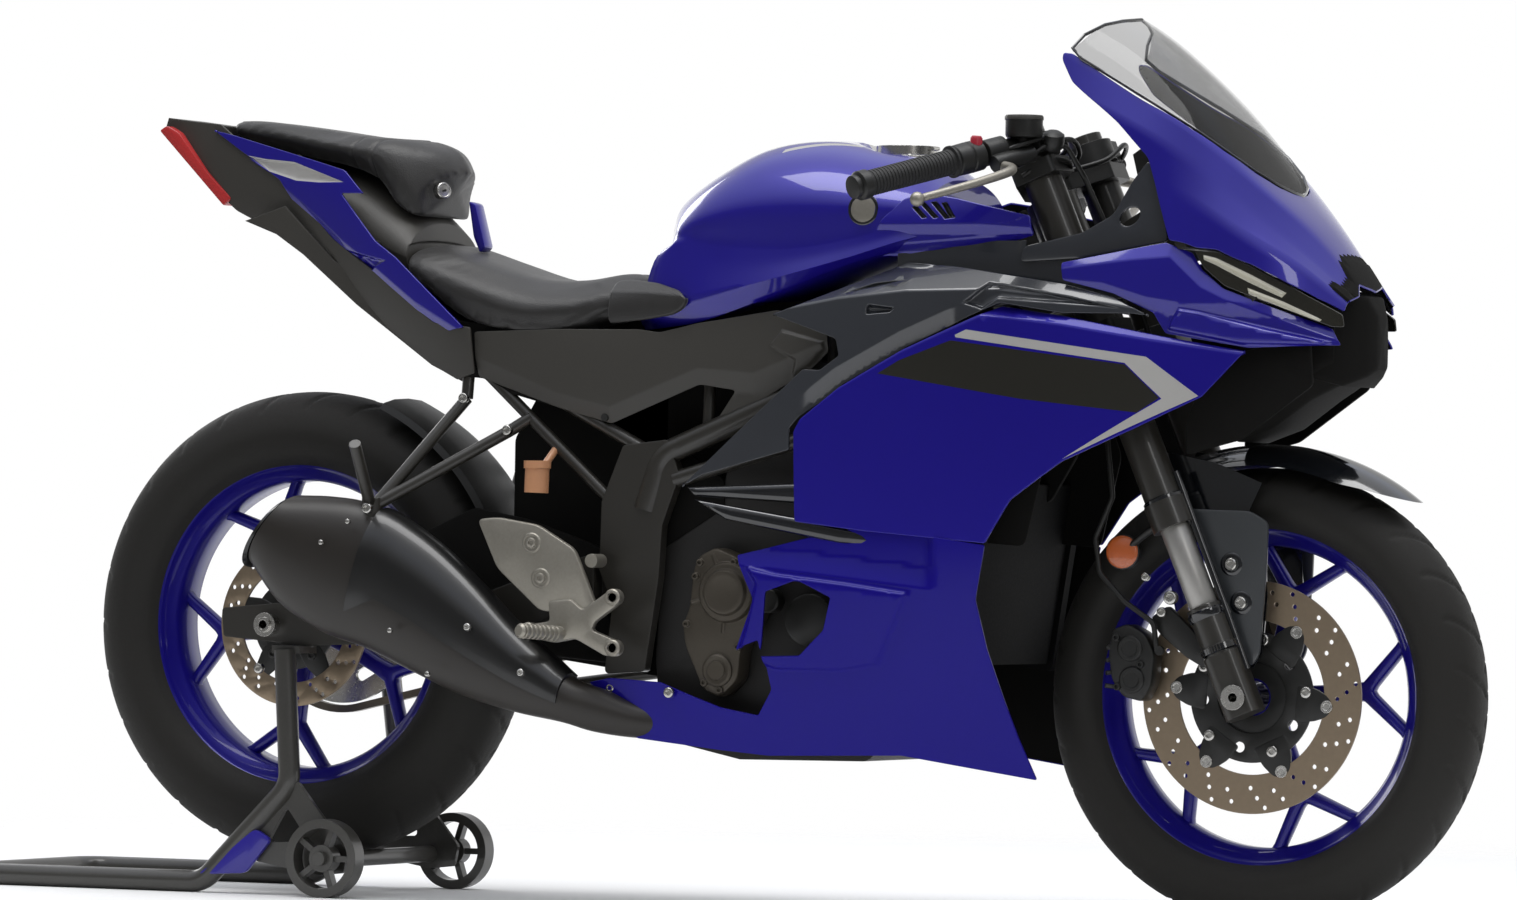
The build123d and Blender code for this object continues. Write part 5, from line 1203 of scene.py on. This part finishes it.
for k in range(5):
    a = TURN * k / 5 + 0.1
    buttons.bolt(move(75 * cos(a), -61, 75 * sin(a)), RIGHT, 7.5, 5)
buttons.piece("front_disc_bolts", "front_wheel", [STEEL], "bright_steel")

move = spun(REAR)
disc = Shape()
disc.plate(circle(110, 96), -62, -58, edge=0.5, place=move,
           holes=[circle(78, 72)] + drilled(78, 110, [(0.2, 0.5, 0.8), (0.35, 0.66)], 20))
disc.piece("rear_disc_ring", "rear_wheel", [DISC], "disc_steel", ["rear_disc"])
carrier = Shape()
for k in range(5):
    a = TURN * k / 5 + 0.3
    carrier.plate(carrier_arm(a, [(36, 0.4), (60, 0.28), (84, 0.12)], 88), -61.5, -57.5, corner=4, place=move)
    carrier.bolt(move(50 * cos(a), -61, 50 * sin(a)), RIGHT, 6.5, 4)
carrier.plate(circle(60, 60), -61, -54, holes=[circle(27, 32)], place=move)
carrier.piece("rear_disc_carrier", "rear_wheel", [BLACK_PART], "black_plastic")

# Inside the fairings: ducts, chin, cockpit sides and cooling blades

COCKPIT = [(474, 844), (570, 850), (678, 870), (668, 925), (650, 975), (628, 948), (602, 905), (560, 882),
           (478, 864)]
OVAL = [(625 + 13 * cos(a) + 5 * sin(a), 902 + 12 * sin(a)) for a in np.arange(28) * 2 * pi / 28]
BLADE_HIGH = [(20, 550), (176, 557), (280, 548), (280, 530), (176, 531), (30, 538)]
BLADE_LOW = [(30, 535), (282, 497), (320, 486), (288, 476), (240, 480), (78, 508)]
sides = Shape()
sides.mat = 1
sides.plate(COCKPIT, -146, -140, corner=8, edge=2, holes=[OVAL[::-1]])
sides.plate([(300, 838), (300, 860), (400, 872), (480, 872), (480, 846), (600, 850), (640, 800), (420, 786)],
            -139, -136, edge=1)
sides.mat = 0
sides.plate([(858, 748), (862, 690), (766, 620), (690, 600), (690, 640), (720, 720), (790, 738)], -106, -100,
            corner=6, edge=2)
sides.mirror()
sides.piece("inner_sides", "chassis", [BLACK_DULL, SCOOP_GLOSS], "black_plastic", ["inner_panels"])
blades = Shape()
for outline, y in ((BLADE_HIGH, -168), (BLADE_LOW, -172)):
    pillow(blades, outline, y, 6, 8, step=7)
blades.mirror()
blades.piece("cooling_blades", "chassis", [BLACK_GLOSS], "gloss_black")
duct, chin = Shape(), Shape()
rings = []
for x, half, low, high in ((846, 84, 700, 812), (884, 64, 690, 813), (906, 34, 702, 805),
                           (916, 20, 712, 782)):
    middle, lean = (low + high) / 2, 0.10 if x < 900 else 0
    ring = rounded([(-half, low), (half, low), (half * 1.02, middle), (half * 0.9, high), (-half * 0.9, high),
                    (-half * 1.02, middle)], 9)
    rings.append([(x - lean * (z - low), y, z) for y, z in ring])
duct.rings(rings)
duct.piece("nose_duct", "chassis", [BLACK_DULL], "black_plastic")
rings = []
for x, half, low, high in ((742, 98, 618, 700), (790, 97, 636, 742), (840, 92, 672, 760),
                           (876, 70, 692, 770)):
    ring = rounded([(-half * 0.6, low), (half * 0.6, low), (half, low + 30), (half, high), (-half, high),
                    (-half, low + 30)], 8)
    rings.append([(x, y, z) for y, z in ring])
chin.rings(rings)
chin.piece("nose_chin", "chassis", [BLACK_DULL], "black_plastic")

# Dark shapes that close the view between the covers: airbox, battery box, inner liners

core = Shape()
core.plate([(-268, 706), (-200, 742), (140, 752), (330, 800), (440, 790), (468, 700), (476, 600),
            (440, 540), (330, 500), (150, 330), (40, 300), (-20, 300), (-60, 560), (-190, 650)], -60, -52,
           corner=6)
core.plate([(-300, 740), (-300, 768), (230, 800), (230, 742)], -94, -90, corner=6)
core.plate([(180, 500), (180, 640), (330, 735), (400, 788), (432, 788), (470, 700), (508, 600), (480, 480)],
           -130, -126, corner=10)
core.plate([(-20, 300), (-56, 420), (-60, 560), (-20, 600), (40, 560), (40, 300)], -98, -92, corner=6)
core.plate([(-285, 330), (-285, 612), (-240, 690), (-190, 730), (-60, 700), (-60, 300)], -60, -53, corner=6)
core.plate([(-350, 768), (-348, 694), (-300, 690), (-262, 670), (-200, 654), (-200, 750), (-300, 762)],
           -116, -110, corner=5)
core.plate([(-440, 470), (-330, 520), (-250, 505), (-142, 470), (-120, 317), (-271, 329), (-352, 330),
            (-440, 400)], -88, -80, corner=9, edge=3)
core.mirror()
core.piece("inner_liners", "chassis", [BLACK_DULL], "black_plastic")

# Engine covers

CLUTCH = [(14, 440), (21, 460), (47, 473), (77, 461), (118, 431), (121, 405), (104, 370), (86, 339),
          (82, 300), (57, 276), (31, 286), (4, 344), (0, 371), (10, 393)]
covers = Shape()
covers.plate(CLUTCH, -138, -100, corner=9, edge=6)
covers.lathe([(-6, 40), (3, 40), (7, 37), (8, 31), (10, 30), (13, 28), (14, 24), (13, 21), (13, TIP)],
             (66, -138, 414), RIGHT, sides=64)
covers.lathe([(-4, 21), (4, 21), (6, 18), (5, 13), (8, 12), (8, TIP)], (54, -138, 312), RIGHT, sides=40)
for k in range(9):
    x, z = CLUTCH[int(k * 1.5)]
    covers.bolt((x + (60 - x) * 0.13, -137, z + (380 - z) * 0.10), RIGHT, 5, 5)
for a in (0.9, 2.0, 3.4, 4.6, 5.6):
    covers.tube([(66 + r * cos(a), y, 414 + r * sin(a)) for r, y in ((40, -138), (54, -137))], 2.6, sides=8)
covers.lathe([(0, 70), (30, 70), (38, 64), (40, 52), (44, 50), (44, TIP)], (110, 104, 350), LEFT, sides=72)
for k in range(8):
    covers.bolt((110 + 63 * cos(k * pi / 4), 138, 350 + 63 * sin(k * pi / 4)), LEFT, 5, 5)
covers.piece("engine_side_covers", "chassis", [COVER_CAST], "engine_black", ["engine_covers"])

# Exhaust: can, end ring and heat shield

CAN = [((-537, 532), (-600, 440), 60, -186), ((-490, 531), (-560, 388), 57, -186),
       ((-440, 524), (-500, 352), 53, -186), ((-390, 500), (-430, 330), 49, -186),
       ((-330, 462), (-360, 300), 46, -186), ((-270, 412), (-290, 272), 43, -186),
       ((-205, 350), (-215, 252), 39, -182), ((-140, 300), (-150, 240), 34, -174),
       ((-100, 284), (-110, 228), 29, -158), ((-50, 264), (-58, 221), 26, -132),
       ((10, 262), (8, 222), 22, -104)]     # a section's top and bottom, half width and y
SIDES = 48
END_RING = [(0.90, (2, 0, 2)), (1.015, (1, 0, 0)), (1.015, (-6, 0, -3)), (0.9, (-9, 0, -5)),
            (0.55, (-9, 0, -5)), (0.5, (4, 0, 2))]     # parts of the can's mouth and how far each is moved
SHIELD_ROWS = range(13, 36)            # rows of the can's skin that the heat shield covers

sections = []
for top, bottom, wide, out in CAN:
    middle = (np.array(top, float) + bottom) / 2
    arm = (np.array(top, float) - bottom) / 2
    sections.append([(middle[0] + arm[0] * sin(a), out + wide * np.sign(cos(a)) * abs(cos(a)) ** 0.8,
                      middle[1] + arm[1] * sin(a)) for a in np.arange(SIDES) * 2 * pi / SIDES])
can_skin = np.stack([curve(line, 5) for line in np.array(sections).transpose(1, 0, 2)], 1)
can = Shape()
can.rings(list(can_skin))
can.piece("exhaust_can", "chassis", [EXHAUST], "exhaust_black", ["muffler"])
mouth = np.array(sections[0]) + (-3, 0, -1)
centre = mouth.mean(0)
end = Shape()
end.rings([list(centre + (mouth - centre) * part + shift) for part, shift in END_RING])
end.piece("exhaust_end_ring", "chassis", [EXHAUST_DARK], "exhaust_black")
rings = []
for row in SHIELD_ROWS:
    arc = np.arange(9, 26 + max(0, 16 - row))
    line = can_skin[row][arc]
    away = line - can_skin[row].mean(0)
    away /= np.linalg.norm(away, axis=1, keepdims=True)
    lift = 6 * min(1, (row - 12) / 1.5) * min(1, (36 - row) / 3) * np.clip(1 - (arc - 20) * 0.16, 0.3, 1)
    picks = np.linspace(0, len(arc) - 1, 17)
    out, back = [np.stack([np.interp(picks, range(len(arc)), values) for values in rows.T], 1)
                 for rows in (line + away * (lift + 2.5)[:, None], line - away * 2)]
    rings.append(list(out) + list(back[::-1]))
shield = Shape()
shield.rings(rings)
shield.piece("exhaust_heat_shield", "chassis", [EXHAUST_DARK], "exhaust_black", sharp=24)
rivets = Shape()
for x, z in ((-437, 498), (-372, 356), (-316, 300), (-476, 470)):
    rivets.bolt((x, -243, z), (0, -1, 0.1), 3.5, 4, socket=False)
for place in ((-262, -236, 362), (-190, -222, 304)):
    rivets.bolt(place, (0, -1, 0.3), 5, 5)
rivets.piece("exhaust_rivets", "chassis", [STEEL], "bright_steel")

# Footrests and heel guards

HEEL = [(-276, 504), (-246, 507), (-187, 498), (-133, 467), (-98, 389), (-108, 384), (-182, 385), (-246, 440)]
REST_ARMS = [(-168, 398), (-166, 372), (-204, 366), (-206, 352), (-160, 344), (-128, 350), (-84, 328),
             (-64, 330), (-62, 346), (-104, 362), (-100, 372), (-66, 396), (-64, 412), (-80, 414),
             (-118, 388), (-136, 402)]
HEEL_STUD = [(-2, 13), (0.6, 13), (1.6, 12), (1.6, 10), (0.2, 9.4), (0.2, 7), (3, 6.6), (3.6, 5.6),
             (3.6, 3.4), (1.4, 3.2), (1.4, TIP)]
PEG_RIBS = [(6 + 8 * k + d, r) for k in range(8) for d, r in ((0, 10), (5, 10), (5.5, 8.6), (7.5, 8.6))]
rest = Shape()
rest.plate(HEEL, -188, -178, corner=9, edge=3)
for x, z in ((-195, 474), (-181, 428)):
    rest.lathe(HEEL_STUD, (x, -188, z), RIGHT, sides=32)
rest.plate(REST_ARMS, -192, -180, corner=5, edge=3)
for x, z in ((-74, 405), (-73, 339), (-196, 359)):
    rest.lathe([(-10, 11), (3, 11), (5, 9), (5, 6.5), (2, 6), (2, TIP)], (x, -190, z), RIGHT, sides=28)
rest.lathe([(0, 9), (6, 10)] + PEG_RIBS + [(72, 10), (76, 7), (76, TIP)], (-150, -190, 356),
           (-0.34, -0.94, 0.05), sides=28)
for x, z in ((-112, 452), (-110, 392)):
    rest.lathe([(0, 9), (30, 9)], (x, -180, z), LEFT, sides=20)
rest.mirror()
rest.piece("footrest_sets", "chassis", [ALUMINIUM], "cast_aluminium", ["rearsets"])

# Handlebar ends, controls and brake cylinder

GRIP_IN, GRIP_OUT = np.array((412.0, 232, 968)), np.array((340.0, 345, 934))
BAR = (GRIP_OUT - GRIP_IN) / np.linalg.norm(GRIP_OUT - GRIP_IN)
GRIP_RIBS = [(2 + 5 * k + d, r) for k in range(25) for d, r in ((0, 16.6), (3.2, 16.6), (3.6, 15.8),
                                                                (4.6, 15.8))]
BAR_BODIES = [
    ([(-47, 16), (-46, 20), (-30, 20.5), (-28, 19), (-26, 20.5), (-8, 20), (-5, 17)], 40),
    ([(-84, 14), (-83, 17), (-54, 17), (-52, 14)], 32),
    ([(130, 14), (131, 19), (143, 19), (145, 16.5), (145.6, 14.5), (147, 14.5), (148, 15.5), (153, 15),
      (154, 12), (154, TIP)], 36)]     # switch case, clamp and bar end, with their numbers of sides
HOLDERS = [([(458, 196, 967), (470, 176, 974), (489, 145, 983)], 11, 20),
           ([(466, 184, 966), (460, 180, 973), (452, 177, 980)], 9, 16)]
LEVER = [(462, 186, 966), (490, 216, 958), (464, 280, 938), (417, 346, 916)]
LEVER_BALL = [(-9.4 * cos(a), max(TIP, 9.4 * sin(a))) for a in np.linspace(0, pi, 13)]
POT = (479, -150, 1004)
housings, levers, grips = Shape(), Shape(), Shape()
for flip in ((1, -1, 1), (1, 1, 1)):
    base, along = GRIP_IN * flip, BAR * flip
    for profile, count in BAR_BODIES:
        housings.lathe(profile, base, along, sides=count)
    for points, radius, count in HOLDERS:
        housings.tube(np.array(points) * flip, radius, sides=count)
    levers.tube(np.array(LEVER) * flip, [7.5, 6.5, 5.5, 5], sides=16, smooth_by=7)
    levers.lathe(LEVER_BALL, np.array(LEVER[-1]) * flip, UP, sides=24)
    grips.lathe([(-4, 14), (-4, 21), (-1, 21), (0, 17)] + GRIP_RIBS + [(130, 16), (130, 14)], base, along,
                sides=40)
housings.lathe([(-22, 8), (-2, 8), (0, 23), (3, 24), (22, 24), (23, 23)], POT, UP, sides=48)
housings.mat = 1
housings.lathe([(22, 25), (26, 25), (28, 23.5), (28, TIP)], POT, UP, sides=48)
housings.mat = 2
housings.lathe([(0, 8), (16, 8), (19, 6), (19, TIP)], (436, -206, 984), (0.1, -0.1, 1), sides=20)
housings.piece("control_housings", "steering", [BLACK_PART, GREY_PART, RED_SWITCH], "black_plastic",
               ["controls"])
levers.piece("hand_levers", "steering", [ALUMINIUM], "cast_aluminium")
grips.piece("hand_grips", "steering", [GRIP], "grip_rubber", ["grips"])

# Fork details, caliper and reflector


def leg(along, forward=0.0, side=-1):
    """A place on a fork leg: along it from the height of the axle, and ahead of it."""
    return STEER_BASE + STEM_FORWARD * (LEG_LEAD + forward) + STEM_UP * along + np.array((0, side * LEG_Y, 0))


COLLARS = [(266, [(-32, 20), (-31, 27), (-24, 28), (-20, 27), (-18, 25.6), (0, 25.6), (2, 27.5), (8, 27.5),
                  (10, 25)]), (108, [(0, 24.5), (2, 26), (10, 26), (12, 24), (16, 23)]),
           (62, [(0, 24.5), (1.5, 27), (9, 27), (10.5, 24.5)])]
collars, sleeves = Shape(), Shape()
for side in (-1, 1):
    for along, profile in COLLARS:
        collars.lathe(profile, leg(along, 0, side), STEM_UP, sides=48)
    collars.tube([leg(30, 24, side), leg(120, 26, side), leg(300, 28, side)], 5, sides=12)
    sleeves.lathe([(126, 18.8), (126.5, 19.1), (235, 19.1), (236, 18.8)], leg(0, 0, side), STEM_UP, sides=48)
collars.piece("fork_collars", "steering", [BLACK_GLOSS], "frame_black")
sleeves.piece("fork_inner_tubes", "steering", [SATIN], "bright_steel")
caliper = Shape()
caliper.plate([(590, 376), (612, 384), (636, 372), (650, 345), (646, 306), (634, 284), (606, 290), (590, 312),
               (585, 345)], -100, -66, corner=7, edge=5)
caliper.plate([(640, 392), (664, 408), (728, 350), (716, 328), (690, 342), (652, 372)], -92, -80, corner=6,
              edge=2.5)
for x, z in ((617, 352), (620, 312)):
    caliper.lathe([(-4, 17), (4, 17), (6, 15), (6, 11), (4.5, 10), (4.5, TIP)], (x, -99, z), RIGHT, sides=36)
for x, z in ((598, 366), (632, 332), (600, 303)):
    caliper.bolt((x, -99, z), RIGHT, 5, 6)
for k in range(4):
    caliper.tube([(592 + 2 * k, -84 - 2 * k, 362 - 20 * k), (586 - k, -100, 352 - 16 * k)], 3, sides=8)
caliper.piece("front_caliper_body", "steering", [BLACK_PART], "engine_black", ["front_caliper"])
FENDER_SCREWS = [(748, 462), (762, 413)]
bright = Shape()
for place, radius, height in (((657, -92, 399), 6.5, 6), ((722, -92, 341), 6.5, 6), ((674, -104, 418), 9, 8),
                              ((634, -92, 444), 5.5, 6)):
    bright.bolt(place, RIGHT, radius, height)
for x, z in FENDER_SCREWS:
    bright.lathe([(-2, 8), (4, 8), (5.4, 6.6), (5.4, 4), (3, 3.8), (3, TIP)], (x, -86, z), RIGHT, sides=28)
bright.piece("fork_bolts", "steering", [STEEL], "bright_steel")
REFLECTOR = dict(base=(596, -80, 475), axis=(0.1, -1, 0.05), sides=48)
reflector = Shape()
reflector.lathe([(-6, 18), (0, 21), (3, 21), (4, 19.5), (5, 18), (5.6, TIP)], **REFLECTOR)
reflector.mat = 1
reflector.lathe([(-9, 22.5), (1.5, 22.5), (2.2, 21.4)], **REFLECTOR)
reflector.tube([(596, -76, 475), (630, -84, 500), (664, -90, 520)], 5, sides=10)
reflector.piece("fork_reflector", "steering", [AMBER, BLACK_PLASTIC], "lamp_lens")
side_plates, washers = Shape(), Shape()
side_plates.plate([(685, 532), (772, 530), (797, 516), (795, 448), (788, 348), (778, 333), (768, 335),
                   (744, 404)], -86, -80, corner=8, edge=2)
side_plates.mirror()
side_plates.piece("fender_side_plates", "steering", [PLATE_GLOSS], "gloss_black")
for x, z in FENDER_SCREWS:
    washers.lathe([(-2, 15), (1.4, 15), (2.4, 13.5), (2.4, 10), (0.5, 9)], (x, -85, z), RIGHT, sides=36)
washers.mirror()
washers.piece("fender_washers", "steering", [BLACK_GLOSS], "gloss_black")
CABLES = [[(489, -145, 983), (508, -124, 998), (520, -86, 1003), (512, -46, 984), (470, -20, 968)],
          [(452, -177, 980), (486, -160, 996), (508, -110, 1008), (500, -60, 992), (456, -30, 970)],
          [(489, 145, 983), (508, 124, 1000), (520, 86, 1005), (512, 46, 984), (470, 20, 968)],
          [(470, -132, 955), (500, -118, 976), (516, -84, 974), (498, -52, 958)]]
cables = Shape()
for path in CABLES:
    cables.tube(path, 3.4, sides=10, smooth_by=8)
cables.lathe([(0, 9), (4, 13), (14, 15), (22, 14), (26, 8), (26, TIP)], (506, -120, 988), (0.2, -0.3, 1),
             sides=28)
cables.piece("cockpit_cables", "steering", [BLACK_PLASTIC], "black_plastic")

# Bolts, caps and patches of the chassis, and the rear guard

GUARD_SECTION = [(-70, 318), (-66, 327), (-40, 333), (0, 335), (40, 333), (66, 327), (70, 318), (66, 323),
                 (40, 329), (0, 331), (-40, 329), (-66, 323)]     # y and the radius round the rear wheel
small = Shape()
for place, radius, height in (((-6, -158, 282), 7, 5), ((-96, -146, 286), 6, 5), ((-331, -120, 664), 7, 6),
                              ((-261, -130, 622), 7, 6), ((-420, -220, 516), 7, 6),
                              ((REAR[0] - 20, -118, 300), 7, 6)):
    small.bolt(place, RIGHT, radius, height)
small.mirror()
small.piece("chassis_bolts", "chassis", [STEEL], "bright_steel")
caps = Shape()
caps.lathe([(-20, 16), (0, 16), (2, 14), (2, TIP)], (124, -140, 404), RIGHT, sides=32)
caps.lathe([(-30, 34), (-6, 34), (-4, 30), (-4, TIP)], (176, -130, 380), RIGHT, sides=32)
caps.mirror()
caps.piece("lower_window_caps", "chassis", [BLACK_PART], "black_plastic")
patches = Shape()
patches.plate([(-690, 24), (-604, 88), (-580, 74), (-618, 28)], -176, -168, corner=8, edge=1.5)
patches.mirror()
patches.piece("stand_patches", "chassis", [STAND_BLUE], "blue_paint")
guard = Shape()
guard.rings([[(REAR[0] + r * cos(a), y, REAR[1] + r * sin(a)) for y, r in GUARD_SECTION]
             for a in np.linspace(radians(14), radians(66), 22)])
guard.piece("rear_guard", "chassis", [BLACK_PLASTIC], "black_plastic", ["hugger"])

# Finishes of the CAD nodes that are shown as they are

NODE_FINISHES = {
    BLACK_PART: ["dash", "triple_clamps", "rear_brake", "brake_hose", "fairing_stays", "shock", "handlebars"],
    GREY_PART: ["undertail"],
    FRAME_PAINT: ["frame", "swingarm", "pillion_hangers", "fork_legs", "side_stand"],
    ENGINE_CAST: ["engine"],
    CORE: ["radiator"],
    EXHAUST_PART: ["exhaust_pipes"],
    STEEL: ["front_axle", "rear_axle", "fork_tubes", "rear_sprocket", "fuel_cap"],
    CHAIN_STEEL: ["chain"],
    BLACK_GLOSS: ["front_fender"],
    FLUID: ["brake_reservoir"],
    STAND: ["paddock_stand", "roller_left", "roller_right"],
}
for finish, nodes in NODE_FINISHES.items():
    for node in nodes:
        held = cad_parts[node].data.materials
        if len(held):
            held[0] = finish
        else:
            held.append(finish)
